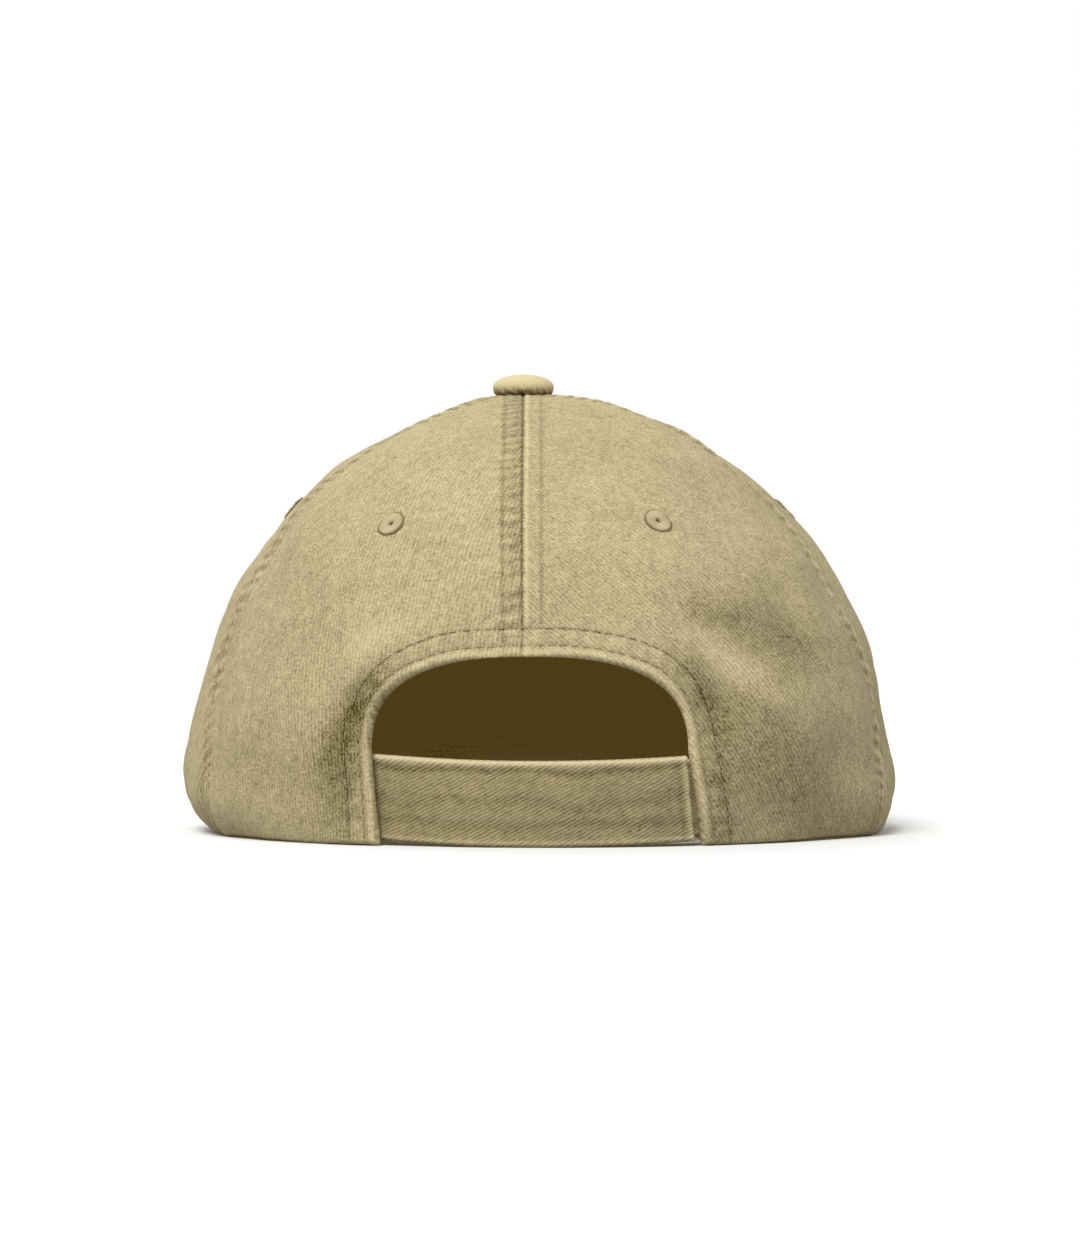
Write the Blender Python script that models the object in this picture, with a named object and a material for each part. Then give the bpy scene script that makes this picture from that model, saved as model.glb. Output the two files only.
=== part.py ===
"""A washed cotton-twill baseball cap, low in the crown and soft, standing on its rim.

Six sewn crown panels meet under a covered top button. A stiff peak is tucked under the two
front panels. An arch is cut out of the two back panels, and a cloth strap crosses it and
laps over a short tab. +Z is up, -Y is the front, +X is the wearer's left. The origin is on
the ground, at the middle of the cap's length and width. Everything is in metres.
"""

import math

import bmesh
import bpy
import numpy as np
from mathutils import Matrix, Vector

# ---------------------------------------------------------------- driving dimensions
CLEARANCE = 0.0003        # left between neighbouring pieces, everywhere

CROWN_WIDTH = 0.182       # over the cloth, at the rim
CROWN_LENGTH = 0.200      # front to back, at the rim
CROWN_HEIGHT = 0.1118     # ground to the top of the crown, under the button
SIDE_FULLNESS = 2.2       # exponent of the crown's height: 2 is an ellipse, more is squarer
FRONT_FULLNESS = 2.6      # the same at the front, where the panels stand steeper
CROWN_LEAN = 0.0043       # how far left of centre the soft crown's panels meet
CROWN_SWAYS = (           # share of the height, spread, shift to the left
    (0.35, 0.18, -0.0005),
    (0.85, 0.12, 0.0011),
)

WALL = 0.0016             # cloth with its seam allowance pressed behind it
RIM_WALL = 0.0024         # the turned-up hem at the rim
HEM_HEIGHT = 0.010        # how far up the hem thickens the wall
RIM_SWELL = 0.0015        # how far the rim band stands out at the sides
RIM_SWELL_HEIGHT = 0.0095
RIM_SWELL_REACH = 0.009
RIM_TUCK = 0.0024         # how far the folded edge turns under at the sides
RIM_TUCK_REACH = 0.0034
LEFT_TUCK = 0.0036        # how much further it turns under at the left corner, which is pressed in
LEFT_TUCK_PLACE = math.radians(78.0)
LEFT_TUCK_SPREAD = math.radians(22.0)

BACK_SEAM = math.radians(68.0)     # where the back-to-side seams meet the rim, from the back
FRONT_SEAM = math.radians(122.5)   # the same for the side-to-front seams
SEAM_BOW = math.radians(6.4)      # how far the cloth at the sides is drawn forward at middle height

ARCH_HALF_WIDTH = 0.0385
ARCH_CENTRE = 0.0025      # the arch isn't quite under the back seam
ARCH_TOP = 0.0457
ARCH_SPRING = 0.0230      # height where the sides of the arch turn into its curve
ARCH_FULLNESS = 2.55      # exponent of the arch's curve
ARCH_RIGHT_FLARE = 0.0034 # how far the wearer's-right side spreads at the rim
ARCH_LEFT_FLARE = -0.0021

STRAP_HEIGHT = 0.0208
STRAP_THICKNESS = 0.0020
STRAP_TUCK = 0.011        # strap length hidden behind the left panel
STRAP_SLACK = 0.0005      # more room between them, because both curve
STRAP_RISE = 0.0012       # the strap's ends are this much higher than its middle
STRAP_END_GAP = 0.0006    # between the strap's free end and the right panel, at its top
STRAP_END_SLANT = 0.0012  # how much that gap grows at its bottom
TAB_THICKNESS = 0.0016
TAB_LAP = 0.016           # tab length hidden behind the strap's free end
TAB_TUCK = 0.010          # tab length hidden behind the right panel
TAB_INSET = 0.0010        # the tab is this much lower than the strap at its top and bottom

PEAK_REACH = 0.069        # how far the peak's middle stands out in front of the crown
PEAK_HALF_WIDTH = 0.0865
PEAK_CORNER = math.radians(118.0)  # where the peak's corners meet the rim, from the back
PEAK_WIDEST = 0.074       # how far in front of the crown's middle the peak is widest
PEAK_FULLNESS = 2.35      # exponent of the peak's front outline
PEAK_BEND = 0.185         # radius that the peak is bent to
PEAK_SLOPE = 0.15         # fall of the peak towards its front
PEAK_THICKNESS = 0.0032
PEAK_SEAM_DEPTH = 0.0045  # how far the peak goes in under the front panels
RIM_LIFT_START = math.radians(78.0)  # from here the rim rises to pass over the peak

BUTTON_DIAMETER = 0.0156
BUTTON_HEIGHT = 0.0058
BUTTON_WAIST = 0.42       # share of the height where the button is widest
POST_DIAMETER = 0.0034
CLINCH_DIAMETER = 0.0090
CLINCH_THICKNESS = 0.0008

EYELET_DIAMETER = 0.0082
EYELET_INNER_DIAMETER = 0.0070
EYELET_BARREL = 0.0036
EYELET_BORE = 0.0018
EYELET_RISE = 0.0007      # thickness of the ring of thread, outside and inside
EYELET_SLACK = 0.0005     # more room for the cloth, which curves between the two flanges
EYELET_PLACES = {         # bearing from the back, seen from the button, in degrees, and height
    "back_left": (25.0, 0.0784),
    "back_right": (-24.9, 0.0786),
    "side_left": (103.0, 0.0830),
    "side_right": (-88.9, 0.0832),
    "front_left": (151.7, 0.0815),
    "front_right": (-151.9, 0.0815),
}

# Soft hollows (-) and rolls (+) pressed into the back panels: place across the back and
# height, half-lengths along and across, how far it is turned, and how far it stands out.
CREASES = (
    (0.047, 0.034, 0.011, 0.0075, 1.15, -0.0017),
    (-0.045, 0.037, 0.012, 0.0080, -1.00, -0.0014),
    (-0.055, 0.054, 0.022, 0.0090, -0.35, -0.0013),
    (-0.056, 0.040, 0.024, 0.0065, 0.55, 0.0012),
    (0.060, 0.060, 0.024, 0.0100, 0.60, -0.0010),
    (0.062, 0.014, 0.020, 0.0080, 0.10, -0.0007),
)

# How finely the curved walls are faceted
PANEL_COLUMNS = 12
PANEL_ROWS_ABOVE_BAND = 11
BAND_HEIGHTS = (0.024, 0.0185, 0.0135, 0.009, 0.0055, 0.0027, 0.0010, 0.0)
PEAK_COLUMNS = 28
PEAK_ROWS = 6
STRAP_COLUMNS = 20
TURNED_SIDES = 20
EYELET_SIDES = 14
ARCH_ARC_POINTS = 12

HALF_WIDTH = CROWN_WIDTH / 2
HALF_LENGTH = CROWN_LENGTH / 2

# Washed cotton: (linear red, green, blue), roughness, metallic
KHAKI_TWILL = ("khaki_twill", (0.527, 0.440, 0.254), 0.90, 0.0)
KHAKI_STRAP = ("khaki_strap", (0.400, 0.330, 0.185), 0.90, 0.0)
KHAKI_THREAD = ("khaki_thread", (0.330, 0.265, 0.135), 0.80, 0.0)


# ---------------------------------------------------------------- the crown's shape
def ease(value, start, end):
    """0 before start, 1 after end, and a smooth step between them."""
    share = np.clip((value - start) / (end - start), 0.0, 1.0)
    return share * share * (3.0 - 2.0 * share)


def fullness(azimuth):
    """The height exponent at an azimuth measured from the back: it grows from the sides to the front."""
    return SIDE_FULLNESS + (FRONT_FULLNESS - SIDE_FULLNESS) * np.clip(-np.cos(azimuth), 0.0, 1.0) ** 2


def band_offset(azimuth, height):
    """How far the wall stands out of the plain dome near the rim, where it swells and then turns under."""
    beside = ease(np.abs(azimuth), math.radians(30.0), math.radians(60.0))
    swell = RIM_SWELL * np.exp(-(((height - RIM_SWELL_HEIGHT) / RIM_SWELL_REACH) ** 2))
    pressed = np.exp(-(((azimuth - LEFT_TUCK_PLACE) / LEFT_TUCK_SPREAD) ** 2))
    tuck = (RIM_TUCK + LEFT_TUCK * pressed) * np.exp(-height / RIM_TUCK_REACH)
    return beside * (swell - tuck)


def sway_offset(azimuth, share):
    """The soft dome stands a little to one side low down and to the other near its top."""
    shift = sum(rise * np.exp(-(((share - middle) / spread) ** 2)) for middle, spread, rise in CROWN_SWAYS)
    return shift * (1.0 - ease(share, 0.93, 1.0)) * np.sin(azimuth)


def crease_offset(x, y, z):
    """Sum of the back panels' soft hollows and rolls, each a Gaussian hill turned in its own plane."""
    total = np.zeros_like(x)
    for middle, height, along, across, turn, rise in CREASES:
        right, up = x - middle, z - height
        lengthways = (right * math.cos(turn) + up * math.sin(turn)) / along
        sideways = (up * math.cos(turn) - right * math.sin(turn)) / across
        total += rise * np.exp(-(lengthways**2) - sideways**2)
    return total * ease(y, 0.0, 0.25 * HALF_LENGTH) * ease(z, 0.0, 0.016)


def peak_bend(x):
    """How far the bent peak has dropped at a distance from its middle line."""
    return PEAK_BEND - np.sqrt(PEAK_BEND**2 - x**2)


def peak_outline():
    """Plan of the peak's free edge, corner to corner.

    It's a short curve out to the widest point, then a superellipse.
    """
    corner_x = HALF_WIDTH * math.sin(PEAK_CORNER)
    corner_y = HALF_LENGTH * math.cos(PEAK_CORNER)
    turn = np.linspace(0.0, math.pi / 2, PEAK_COLUMNS // 2 - 2)
    front_x = PEAK_HALF_WIDTH * np.cos(turn) ** (2 / PEAK_FULLNESS)
    front_y = -PEAK_WIDEST - (HALF_LENGTH + PEAK_REACH - PEAK_WIDEST) * np.sin(turn) ** (2 / PEAK_FULLNESS)
    share = np.linspace(0.0, 1.0, 4)[:-1]
    side_x = corner_x + (PEAK_HALF_WIDTH - corner_x) * (2 * share - share**2)
    side_y = corner_y + (-PEAK_WIDEST - corner_y) * share
    half = np.column_stack((np.append(side_x, front_x), np.append(side_y, front_y)))
    return np.vstack((half, half[-2::-1] * (-1.0, 1.0)))


def peak_fall(points):
    """How far the peak's top has dropped from its highest point, the middle of the crown's front."""
    return peak_bend(points[..., 0]) + PEAK_SLOPE * (-points[..., 1] - HALF_LENGTH)


# The peak is as low as it can be: the edge of its underside just touches the ground.
PEAK_CREST = PEAK_THICKNESS + float(peak_fall(peak_outline()).max())


def rim_height(azimuth, depth):
    """Height of the crown's lower edge: on the ground behind, and over the peak in front."""
    out = band_offset(azimuth, 0.0) - depth
    plan = np.stack(((HALF_WIDTH + out) * np.sin(azimuth), (HALF_LENGTH + out) * np.cos(azimuth)), axis=-1)
    over_peak = PEAK_CREST - peak_fall(plan) + CLEARANCE
    return over_peak * ease(np.abs(azimuth), RIM_LIFT_START, PEAK_CORNER - math.radians(2.0))


def bowed(azimuth, reach):
    """Azimuth moved forward at middle height, since the seams bow toward the cap's sides as they rise."""
    down = np.arcsin(np.sqrt(reach)) / (math.pi / 2)
    middle = ease(down, 0.12, 0.51) * (1.0 - ease(down, 0.75, 1.0))
    return azimuth + SEAM_BOW * np.sin(azimuth) * np.abs(np.sin(azimuth)) * (1.0 + np.cos(azimuth)) * middle


def crown_surface(x, y, depth):
    """The point of the crown over plan point (x, y), depth below its outer face.

    The dome is an ellipse in plan and a superellipse in height. Near the rim it swells and
    turns under. Its sway and the creases are added along the same outward direction.
    """
    wide, long, high = HALF_WIDTH - depth, HALF_LENGTH - depth, CROWN_HEIGHT - depth
    reach = np.minimum((x / wide) ** 2 + (y / long) ** 2, 1.0)
    azimuth = bowed(np.arctan2(x / wide, y / long), reach)
    x, y = wide * np.sqrt(reach) * np.sin(azimuth), long * np.sqrt(reach) * np.cos(azimuth)
    rim = rim_height(azimuth, depth)
    share = (1.0 - reach) ** (1.0 / fullness(azimuth))
    z = rim + (high - rim) * share
    out = band_offset(azimuth, z - rim) + sway_offset(azimuth, share) + crease_offset(x, y, z)
    return np.stack((x + out * np.sin(azimuth), y + out * np.cos(azimuth), z), axis=-1)


def reach_at_height(share):
    """Share of the plan radius at which the dome has this share of its height."""
    return math.sqrt(1.0 - share**SIDE_FULLNESS)


def ray_to_ellipse(start, bearings, wide, long, reach):
    """Distance along each bearing from start to the ellipse of half-axes (wide, long) times reach."""
    across, ahead = np.sin(bearings) / wide, np.cos(bearings) / long
    start_across, start_ahead = start[0] / wide, start[1] / long
    square = across**2 + ahead**2
    cross = across * start_across + ahead * start_ahead
    rest = start_across**2 + start_ahead**2 - reach**2
    return (-cross + np.sqrt(cross**2 - square * rest)) / square


def seam_bearing(azimuth):
    """Bearing from the point where the panels meet to a place on the rim."""
    across = HALF_WIDTH * math.sin(azimuth) - CROWN_LEAN
    if abs(math.sin(azimuth)) < 1e-6:
        across = 0.0
    return math.atan2(across, HALF_LENGTH * math.cos(azimuth))


# ---------------------------------------------------------------- making objects
def clear_scene():
    """Start from an empty scene."""
    for thing in list(bpy.data.objects):
        bpy.data.objects.remove(thing)


def cloth_material(finish):
    """A plain Principled material for one kind of cloth."""
    name, colour, roughness, metallic = finish
    material = bpy.data.materials.get(name)
    if material is None:
        material = bpy.data.materials.new(name)
        material.use_nodes = True
        shader = material.node_tree.nodes["Principled BSDF"]
        shader.inputs["Base Color"].default_value = (*colour, 1.0)
        shader.inputs["Roughness"].default_value = roughness
        shader.inputs["Metallic"].default_value = metallic
    return material


def add_object(name, mesh, finish, crisp_angle=40.0):
    """Put a mesh in the scene as one named piece with its own material, smooth except at sharp edges."""
    mesh.shade_smooth()
    mesh.set_sharp_from_angle(angle=math.radians(crisp_angle))
    mesh.materials.append(cloth_material(finish))
    piece = bpy.data.objects.new(name, mesh)
    bpy.context.scene.collection.objects.link(piece)
    return piece


def closed_sheet(name, outer, inner):
    """A closed wall from two grids of points, outer and inner, joined round their four edges."""
    rows, columns = outer.shape[:2]
    points = np.concatenate((outer.reshape(-1, 3), inner.reshape(-1, 3)))
    index = np.arange(rows * columns).reshape(rows, columns)
    quads = np.stack((index[:-1, :-1], index[1:, :-1], index[1:, 1:], index[:-1, 1:]), axis=-1)
    quads = quads.reshape(-1, 4)
    rim = np.concatenate((index[0, :-1], index[:-1, -1], index[-1, :0:-1], index[:0:-1, 0]))
    after = np.roll(rim, -1)
    second = rows * columns
    sides = np.stack((rim, after, after + second, rim + second), axis=-1)
    mesh = bpy.data.meshes.new(name)
    faces = np.concatenate((quads, quads[:, ::-1] + second, sides))
    mesh.from_pydata(points.tolist(), [], faces.tolist())
    tidy = bmesh.new()
    tidy.from_mesh(mesh)
    bmesh.ops.remove_doubles(tidy, verts=tidy.verts, dist=1e-6)
    bmesh.ops.recalc_face_normals(tidy, faces=tidy.faces)
    tidy.to_mesh(mesh)
    tidy.free()
    return mesh


def turned_solid(name, profile, sides=TURNED_SIDES):
    """A solid of revolution about Z from a profile of (radius, height) points."""
    turned = bmesh.new()
    points = [turned.verts.new((radius, 0.0, height)) for radius, height in profile]
    hollow = min(radius for radius, _ in profile) > 0.0
    ring = points + points[:1] if hollow else points
    edges = [turned.edges.new(pair) for pair in zip(ring[:-1], ring[1:])]
    bmesh.ops.spin(
        turned,
        geom=points + edges,
        cent=(0.0, 0.0, 0.0),
        axis=(0.0, 0.0, 1.0),
        angle=2 * math.pi,
        steps=sides,
        use_merge=True,
    )
    bmesh.ops.remove_doubles(turned, verts=turned.verts, dist=1e-6)
    bmesh.ops.recalc_face_normals(turned, faces=turned.faces)
    mesh = bpy.data.meshes.new(name)
    turned.to_mesh(mesh)
    turned.free()
    return mesh


def add_cutter(name, mesh, place=None):
    """A solid that only cuts others: it isn't rendered, and shows as wires."""
    cutter = bpy.data.objects.new(name, mesh)
    cutter.matrix_world = place if place is not None else Matrix.Identity(4)
    cutter.hide_render = True
    cutter.display_type = "WIRE"
    bpy.context.scene.collection.objects.link(cutter)
    return cutter


def cut(piece, cutter):
    """Subtract cutter from piece."""
    modifier = piece.modifiers.new("cut_" + cutter.name, "BOOLEAN")
    modifier.operation = "DIFFERENCE"
    modifier.solver = "EXACT"
    modifier.object = cutter


# ---------------------------------------------------------------- placing the crown
def back_reach():
    """How far the strap's outer face stands behind the crown's middle."""
    return HALF_LENGTH


# The box of the whole cap is centred on the origin, so the crown sits behind it.
CROWN_Y = (HALF_LENGTH + PEAK_REACH - back_reach()) / 2


def set_in_place(points):
    """From the crown's own frame, centred on its oval, to the cap's."""
    return points + np.array((0.0, CROWN_Y, 0.0))


# ---------------------------------------------------------------- crown panels
def panel_rows():
    """Plan radii of a panel's rows, evenly spaced down the dome and closer together in the rim band."""
    band_share = BAND_HEIGHTS[0] / CROWN_HEIGHT
    band_angle = math.asin(reach_at_height(band_share))
    above = [math.sin(band_angle * row / PANEL_ROWS_ABOVE_BAND) for row in range(1, PANEL_ROWS_ABOVE_BAND)]
    band = [reach_at_height(height / CROWN_HEIGHT) for height in BAND_HEIGHTS]
    return np.array(above + band)


def add_panel(name, from_azimuth, to_azimuth):
    """One crown panel: a fan of rows between two seams, with half the clearance left at each."""
    first, last = seam_bearing(from_azimuth), seam_bearing(to_azimuth)
    if last < first:
        last += 2 * math.pi
    middle = (first + last) / 2
    tip_inset = CLEARANCE / 2 / math.sin((last - first) / 2)
    tip = (CROWN_LEAN + tip_inset * math.sin(middle), tip_inset * math.cos(middle))
    bearings = np.linspace(first, last, PANEL_COLUMNS + 1)
    rows = panel_rows()
    hem = ease(-np.sqrt(1.0 - rows**2), -HEM_HEIGHT / CROWN_HEIGHT * 3, 0.0)
    faces = []
    for depths in (np.zeros_like(rows), WALL + (RIM_WALL - WALL) * hem):
        top = np.ones(PANEL_COLUMNS + 1)
        lines = [crown_surface(tip[0] * top, tip[1] * top, depths[0])]
        for reach, depth in zip(rows, depths):
            far = ray_to_ellipse(tip, bearings, HALF_WIDTH - depth, HALF_LENGTH - depth, reach)
            across = tip[0] + far * np.sin(bearings)
            along = tip[1] + far * np.cos(bearings)
            lines.append(crown_surface(across, along, depth))
        faces.append(set_in_place(np.array(lines)))
    return add_object(name, closed_sheet(name, *faces), KHAKI_TWILL)


def arch_sides(height):
    """The arch's left and right edge at a height below its spring line."""
    down = 1.0 - height / ARCH_SPRING
    left = ARCH_CENTRE + ARCH_HALF_WIDTH + ARCH_LEFT_FLARE * down
    right = ARCH_CENTRE - ARCH_HALF_WIDTH - ARCH_RIGHT_FLARE * down
    return left, right


def arch_cutter():
    """The arch's outline, a superellipse on two nearly upright sides, pushed through the crown's back."""
    below = -0.004
    turn = np.linspace(0.0, math.pi / 2, ARCH_ARC_POINTS)
    side = ARCH_HALF_WIDTH * np.cos(turn) ** (2 / ARCH_FULLNESS)
    rise = ARCH_SPRING + (ARCH_TOP - ARCH_SPRING) * np.sin(turn) ** (2 / ARCH_FULLNESS)
    left_foot, right_foot = arch_sides(below)
    outline = [(left_foot, below)]
    outline += list(zip(ARCH_CENTRE + side, rise))
    outline += list(zip(ARCH_CENTRE - side[-2::-1], rise[-2::-1]))
    outline += [(right_foot, below)]
    solid = bmesh.new()
    near = [solid.verts.new((x, CROWN_Y + 0.5 * HALF_LENGTH, z)) for x, z in outline]
    face = solid.faces.new(near)
    pushed = bmesh.ops.extrude_face_region(solid, geom=[face])
    moved = [part for part in pushed["geom"] if isinstance(part, bmesh.types.BMVert)]
    bmesh.ops.translate(solid, verts=moved, vec=(0.0, 0.8 * HALF_LENGTH, 0.0))
    bmesh.ops.recalc_face_normals(solid, faces=solid.faces)
    mesh = bpy.data.meshes.new("arch_cutter")
    solid.to_mesh(mesh)
    solid.free()
    return add_cutter("arch_cutter", mesh)


def post_hole_cutter():
    """The small hole for the button's post, where the six panels meet."""
    radius = POST_DIAMETER / 2 + CLEARANCE
    profile = ((0.0, -0.02), (radius, -0.02), (radius, 0.02), (0.0, 0.02))
    mesh = turned_solid("post_hole_cutter", profile, EYELET_SIDES)
    return add_cutter("post_hole_cutter", mesh, Matrix.Translation((CROWN_LEAN, CROWN_Y, CROWN_HEIGHT)))


# ---------------------------------------------------------------- eyelets
def eyelet_place(bearing, height):
    """Where an eyelet sits: its point on the crown's outer face, with Z along the cloth's outward normal."""
    start = (CROWN_LEAN, 0.0)
    direction = np.array([bearing])
    low, high = 0.05, 0.999
    for _ in range(40):
        reach = (low + high) / 2
        far = ray_to_ellipse(start, direction, HALF_WIDTH, HALF_LENGTH, reach)
        point = crown_surface(start[0] + far * np.sin(direction), far * np.cos(direction), 0.0)[0]
        low, high = (reach, high) if point[2] > height else (low, reach)
    step = 1e-4
    x, y = float(start[0] + far[0] * math.sin(bearing)), float(far[0] * math.cos(bearing))
    along_x = crown_surface(np.array([x + step]), np.array([y]), 0.0)[0] - point
    along_y = crown_surface(np.array([x]), np.array([y + step]), 0.0)[0] - point
    normal = Vector(np.cross(along_x, along_y)).normalized()
    turn = normal.to_track_quat("Z", "Y").to_matrix().to_4x4()
    return Matrix.Translation(Vector(set_in_place(point))) @ turn


def add_eyelet(name, bearing, height, panel):
    """A ring of thread sewn over a small hole's edge: a flange outside, a barrel and a flange inside."""
    place = eyelet_place(bearing, height)
    radius = EYELET_BARREL / 2 + CLEARANCE
    outline = ((0.0, -0.006), (radius, -0.006), (radius, 0.006), (0.0, 0.006))
    hole = turned_solid(name + "_hole", outline, EYELET_SIDES)
    cut(panel, add_cutter(name + "_hole_cutter", hole, place))
    outside, inside = CLEARANCE, -WALL - EYELET_SLACK - CLEARANCE
    bore, barrel = EYELET_BORE / 2, EYELET_BARREL / 2
    edge, inner_edge = EYELET_DIAMETER / 2, EYELET_INNER_DIAMETER / 2
    soften = EYELET_RISE / 2
    profile = (
        (bore, inside - soften),
        (bore, outside + soften),
        (bore + soften, outside + EYELET_RISE),
        (edge - soften, outside + EYELET_RISE),
        (edge, outside),
        (barrel, outside),
        (barrel, inside),
        (inner_edge, inside),
        (inner_edge - soften, inside - EYELET_RISE),
        (bore + soften, inside - EYELET_RISE),
    )
    ring = add_object(name, turned_solid(name, profile, EYELET_SIDES), KHAKI_THREAD)
    ring.matrix_world = place
    return ring


# ---------------------------------------------------------------- closure strap and tab
def band_point(x, z, depth):
    """A band's point, depth below the crown's outer face, at a place across the back and a height."""
    wide, long, high = HALF_WIDTH - depth, HALF_LENGTH - depth, CROWN_HEIGHT - depth
    reach = np.sqrt(1.0 - np.clip(z / high, 0.0, 1.0) ** SIDE_FULLNESS)
    azimuth = np.arcsin(x / (wide * reach))
    out = band_offset(azimuth, z)
    return np.stack((x, (long * reach + out) * np.cos(azimuth), z), axis=-1)


def band_solid(name, starts, ends, inset, thickness, depth_at):
    """A band across the back from starts to ends, each the place at its top and bottom edge."""
    across = np.linspace(0.0, 1.0, STRAP_COLUMNS + 1)
    rows = np.linspace(0.0, 1.0, 4)
    share, row = np.meshgrid(across, rows)
    start = starts[0] + (starts[1] - starts[0]) * row
    end = ends[0] + (ends[1] - ends[0]) * row
    x = start + (end - start) * share
    z = STRAP_HEIGHT - inset - (STRAP_HEIGHT - 2 * inset) * row + STRAP_RISE * (x / ARCH_HALF_WIDTH) ** 2
    grids = [set_in_place(band_point(x, z, depth_at(x) + extra)) for extra in (0.0, thickness)]
    return closed_sheet(name, *grids)


def add_strap():
    """The strap comes from behind the left panel and lies flush with the crown over the arch."""
    tucked = RIM_WALL + STRAP_SLACK + CLEARANCE
    left_top, _ = arch_sides(STRAP_HEIGHT)
    left_foot, _ = arch_sides(0.0)
    edge = min(left_top, left_foot)
    top_end = arch_sides(STRAP_HEIGHT)[1] + STRAP_END_GAP
    foot_end = arch_sides(0.0)[1] + STRAP_END_GAP + STRAP_END_SLANT
    hidden_end = max(left_top, left_foot) + STRAP_TUCK

    def depth_at(x):
        return tucked * ease(x, edge - 0.026, edge - 0.002)

    start = (hidden_end, hidden_end)
    mesh = band_solid("closure_strap", start, (top_end, foot_end), 0.0, STRAP_THICKNESS, depth_at)
    return add_object("closure_strap", mesh, KHAKI_STRAP)


def add_tab():
    """The short tab comes from behind the right panel and ends behind the strap."""
    depth = max(RIM_WALL, STRAP_THICKNESS) + STRAP_SLACK + CLEARANCE
    right_edge = arch_sides(0.0)[1]
    ends = right_edge + TAB_LAP, right_edge - TAB_TUCK

    def depth_at(x):
        return np.full_like(x, depth)

    mesh = band_solid("closure_tab", (ends[0],) * 2, (ends[1],) * 2, TAB_INSET, TAB_THICKNESS, depth_at)
    return add_object("closure_tab", mesh, KHAKI_STRAP)


# ---------------------------------------------------------------- peak
def add_peak():
    """A bent plate from just inside the crown's front rim to the peak's free edge."""
    azimuths = np.linspace(PEAK_CORNER, 2 * math.pi - PEAK_CORNER, PEAK_COLUMNS + 1)
    signed = np.where(azimuths > math.pi, azimuths - 2 * math.pi, azimuths)
    out = band_offset(signed, 0.0) - PEAK_SEAM_DEPTH
    rear = np.column_stack(((HALF_WIDTH + out) * np.sin(signed), (HALF_LENGTH + out) * np.cos(signed)))
    free = peak_outline()
    travel = np.append(0.0, np.cumsum(np.linalg.norm(np.diff(free, axis=0), axis=1)))
    even = np.linspace(0.0, travel[-1], PEAK_COLUMNS + 1)
    front = np.column_stack([np.interp(even, travel, free[:, axis]) for axis in (0, 1)])
    share = np.linspace(0.0, 1.0, PEAK_ROWS + 1)[:, None, None]
    plan = rear + (front - rear) * share
    top = np.dstack((plan, PEAK_CREST - peak_fall(plan)))
    under = top - np.array((0.0, 0.0, PEAK_THICKNESS))
    return add_object("peak", closed_sheet("peak", set_in_place(top), set_in_place(under)), KHAKI_TWILL)


# ---------------------------------------------------------------- top button
def add_button():
    """A cloth-covered shell: a domed head, a post through the crown and a clinched disc under it."""
    radius, post, clinch = BUTTON_DIAMETER / 2, POST_DIAMETER / 2, CLINCH_DIAMETER / 2
    waist = BUTTON_WAIST * BUTTON_HEIGHT
    bottom = CROWN_HEIGHT + CLEARANCE
    far_side = np.array([CROWN_LEAN + clinch])
    disc_top = float(crown_surface(far_side, np.zeros(1), WALL)[0, 2]) - CLEARANCE
    profile = [(0.0, disc_top - CLINCH_THICKNESS), (clinch, disc_top - CLINCH_THICKNESS), (clinch, disc_top)]
    profile += [(post, disc_top), (post, bottom)]
    foot = 0.80 * radius
    for turn in np.linspace(0.0, math.pi / 2, 5):
        profile.append((foot + (radius - foot) * math.sin(turn), bottom + waist * (1.0 - math.cos(turn))))
    for turn in np.linspace(0.0, math.pi / 2, 9)[1:-1]:
        side = math.cos(turn) ** 0.85
        profile.append((radius * side, bottom + waist + (BUTTON_HEIGHT - waist) * math.sin(turn) ** 0.95))
    profile.append((0.0, bottom + BUTTON_HEIGHT))
    button = add_object("top_button", turned_solid("top_button", profile), KHAKI_TWILL)
    button.location = (CROWN_LEAN, CROWN_Y, 0.0)
    return button


# ---------------------------------------------------------------- the cap
def build():
    """Make every piece of the cap."""
    clear_scene()
    seams = (0.0, BACK_SEAM, FRONT_SEAM, math.pi)
    arch = arch_cutter()
    post_hole = post_hole_cutter()
    for side in ("left", "right"):
        for place, near, far in zip(("back", "side", "front"), seams[:-1], seams[1:]):
            limits = (near, far) if side == "left" else (-far, -near)
            panel = add_panel(f"panel_{place}_{side}", *limits)
            if place == "back":
                cut(panel, arch)
            cut(panel, post_hole)
            bearing, height = EYELET_PLACES[f"{place}_{side}"]
            add_eyelet(f"eyelet_{place}_{side}", math.radians(bearing), height, panel)
    add_peak()
    add_button()
    add_strap()
    add_tab()


build()
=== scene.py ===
"""A soft six-panel baseball cap in washed cotton twill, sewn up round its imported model.

The pieces come in the order a cap maker puts them together: the crown panels, the rows of
stitches over their seams, the eyelets, the closure, the peak and the covered button.
Everything is in metres: +Z is up, -Y is the front and +X is the wearer's left.
"""

import math

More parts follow.
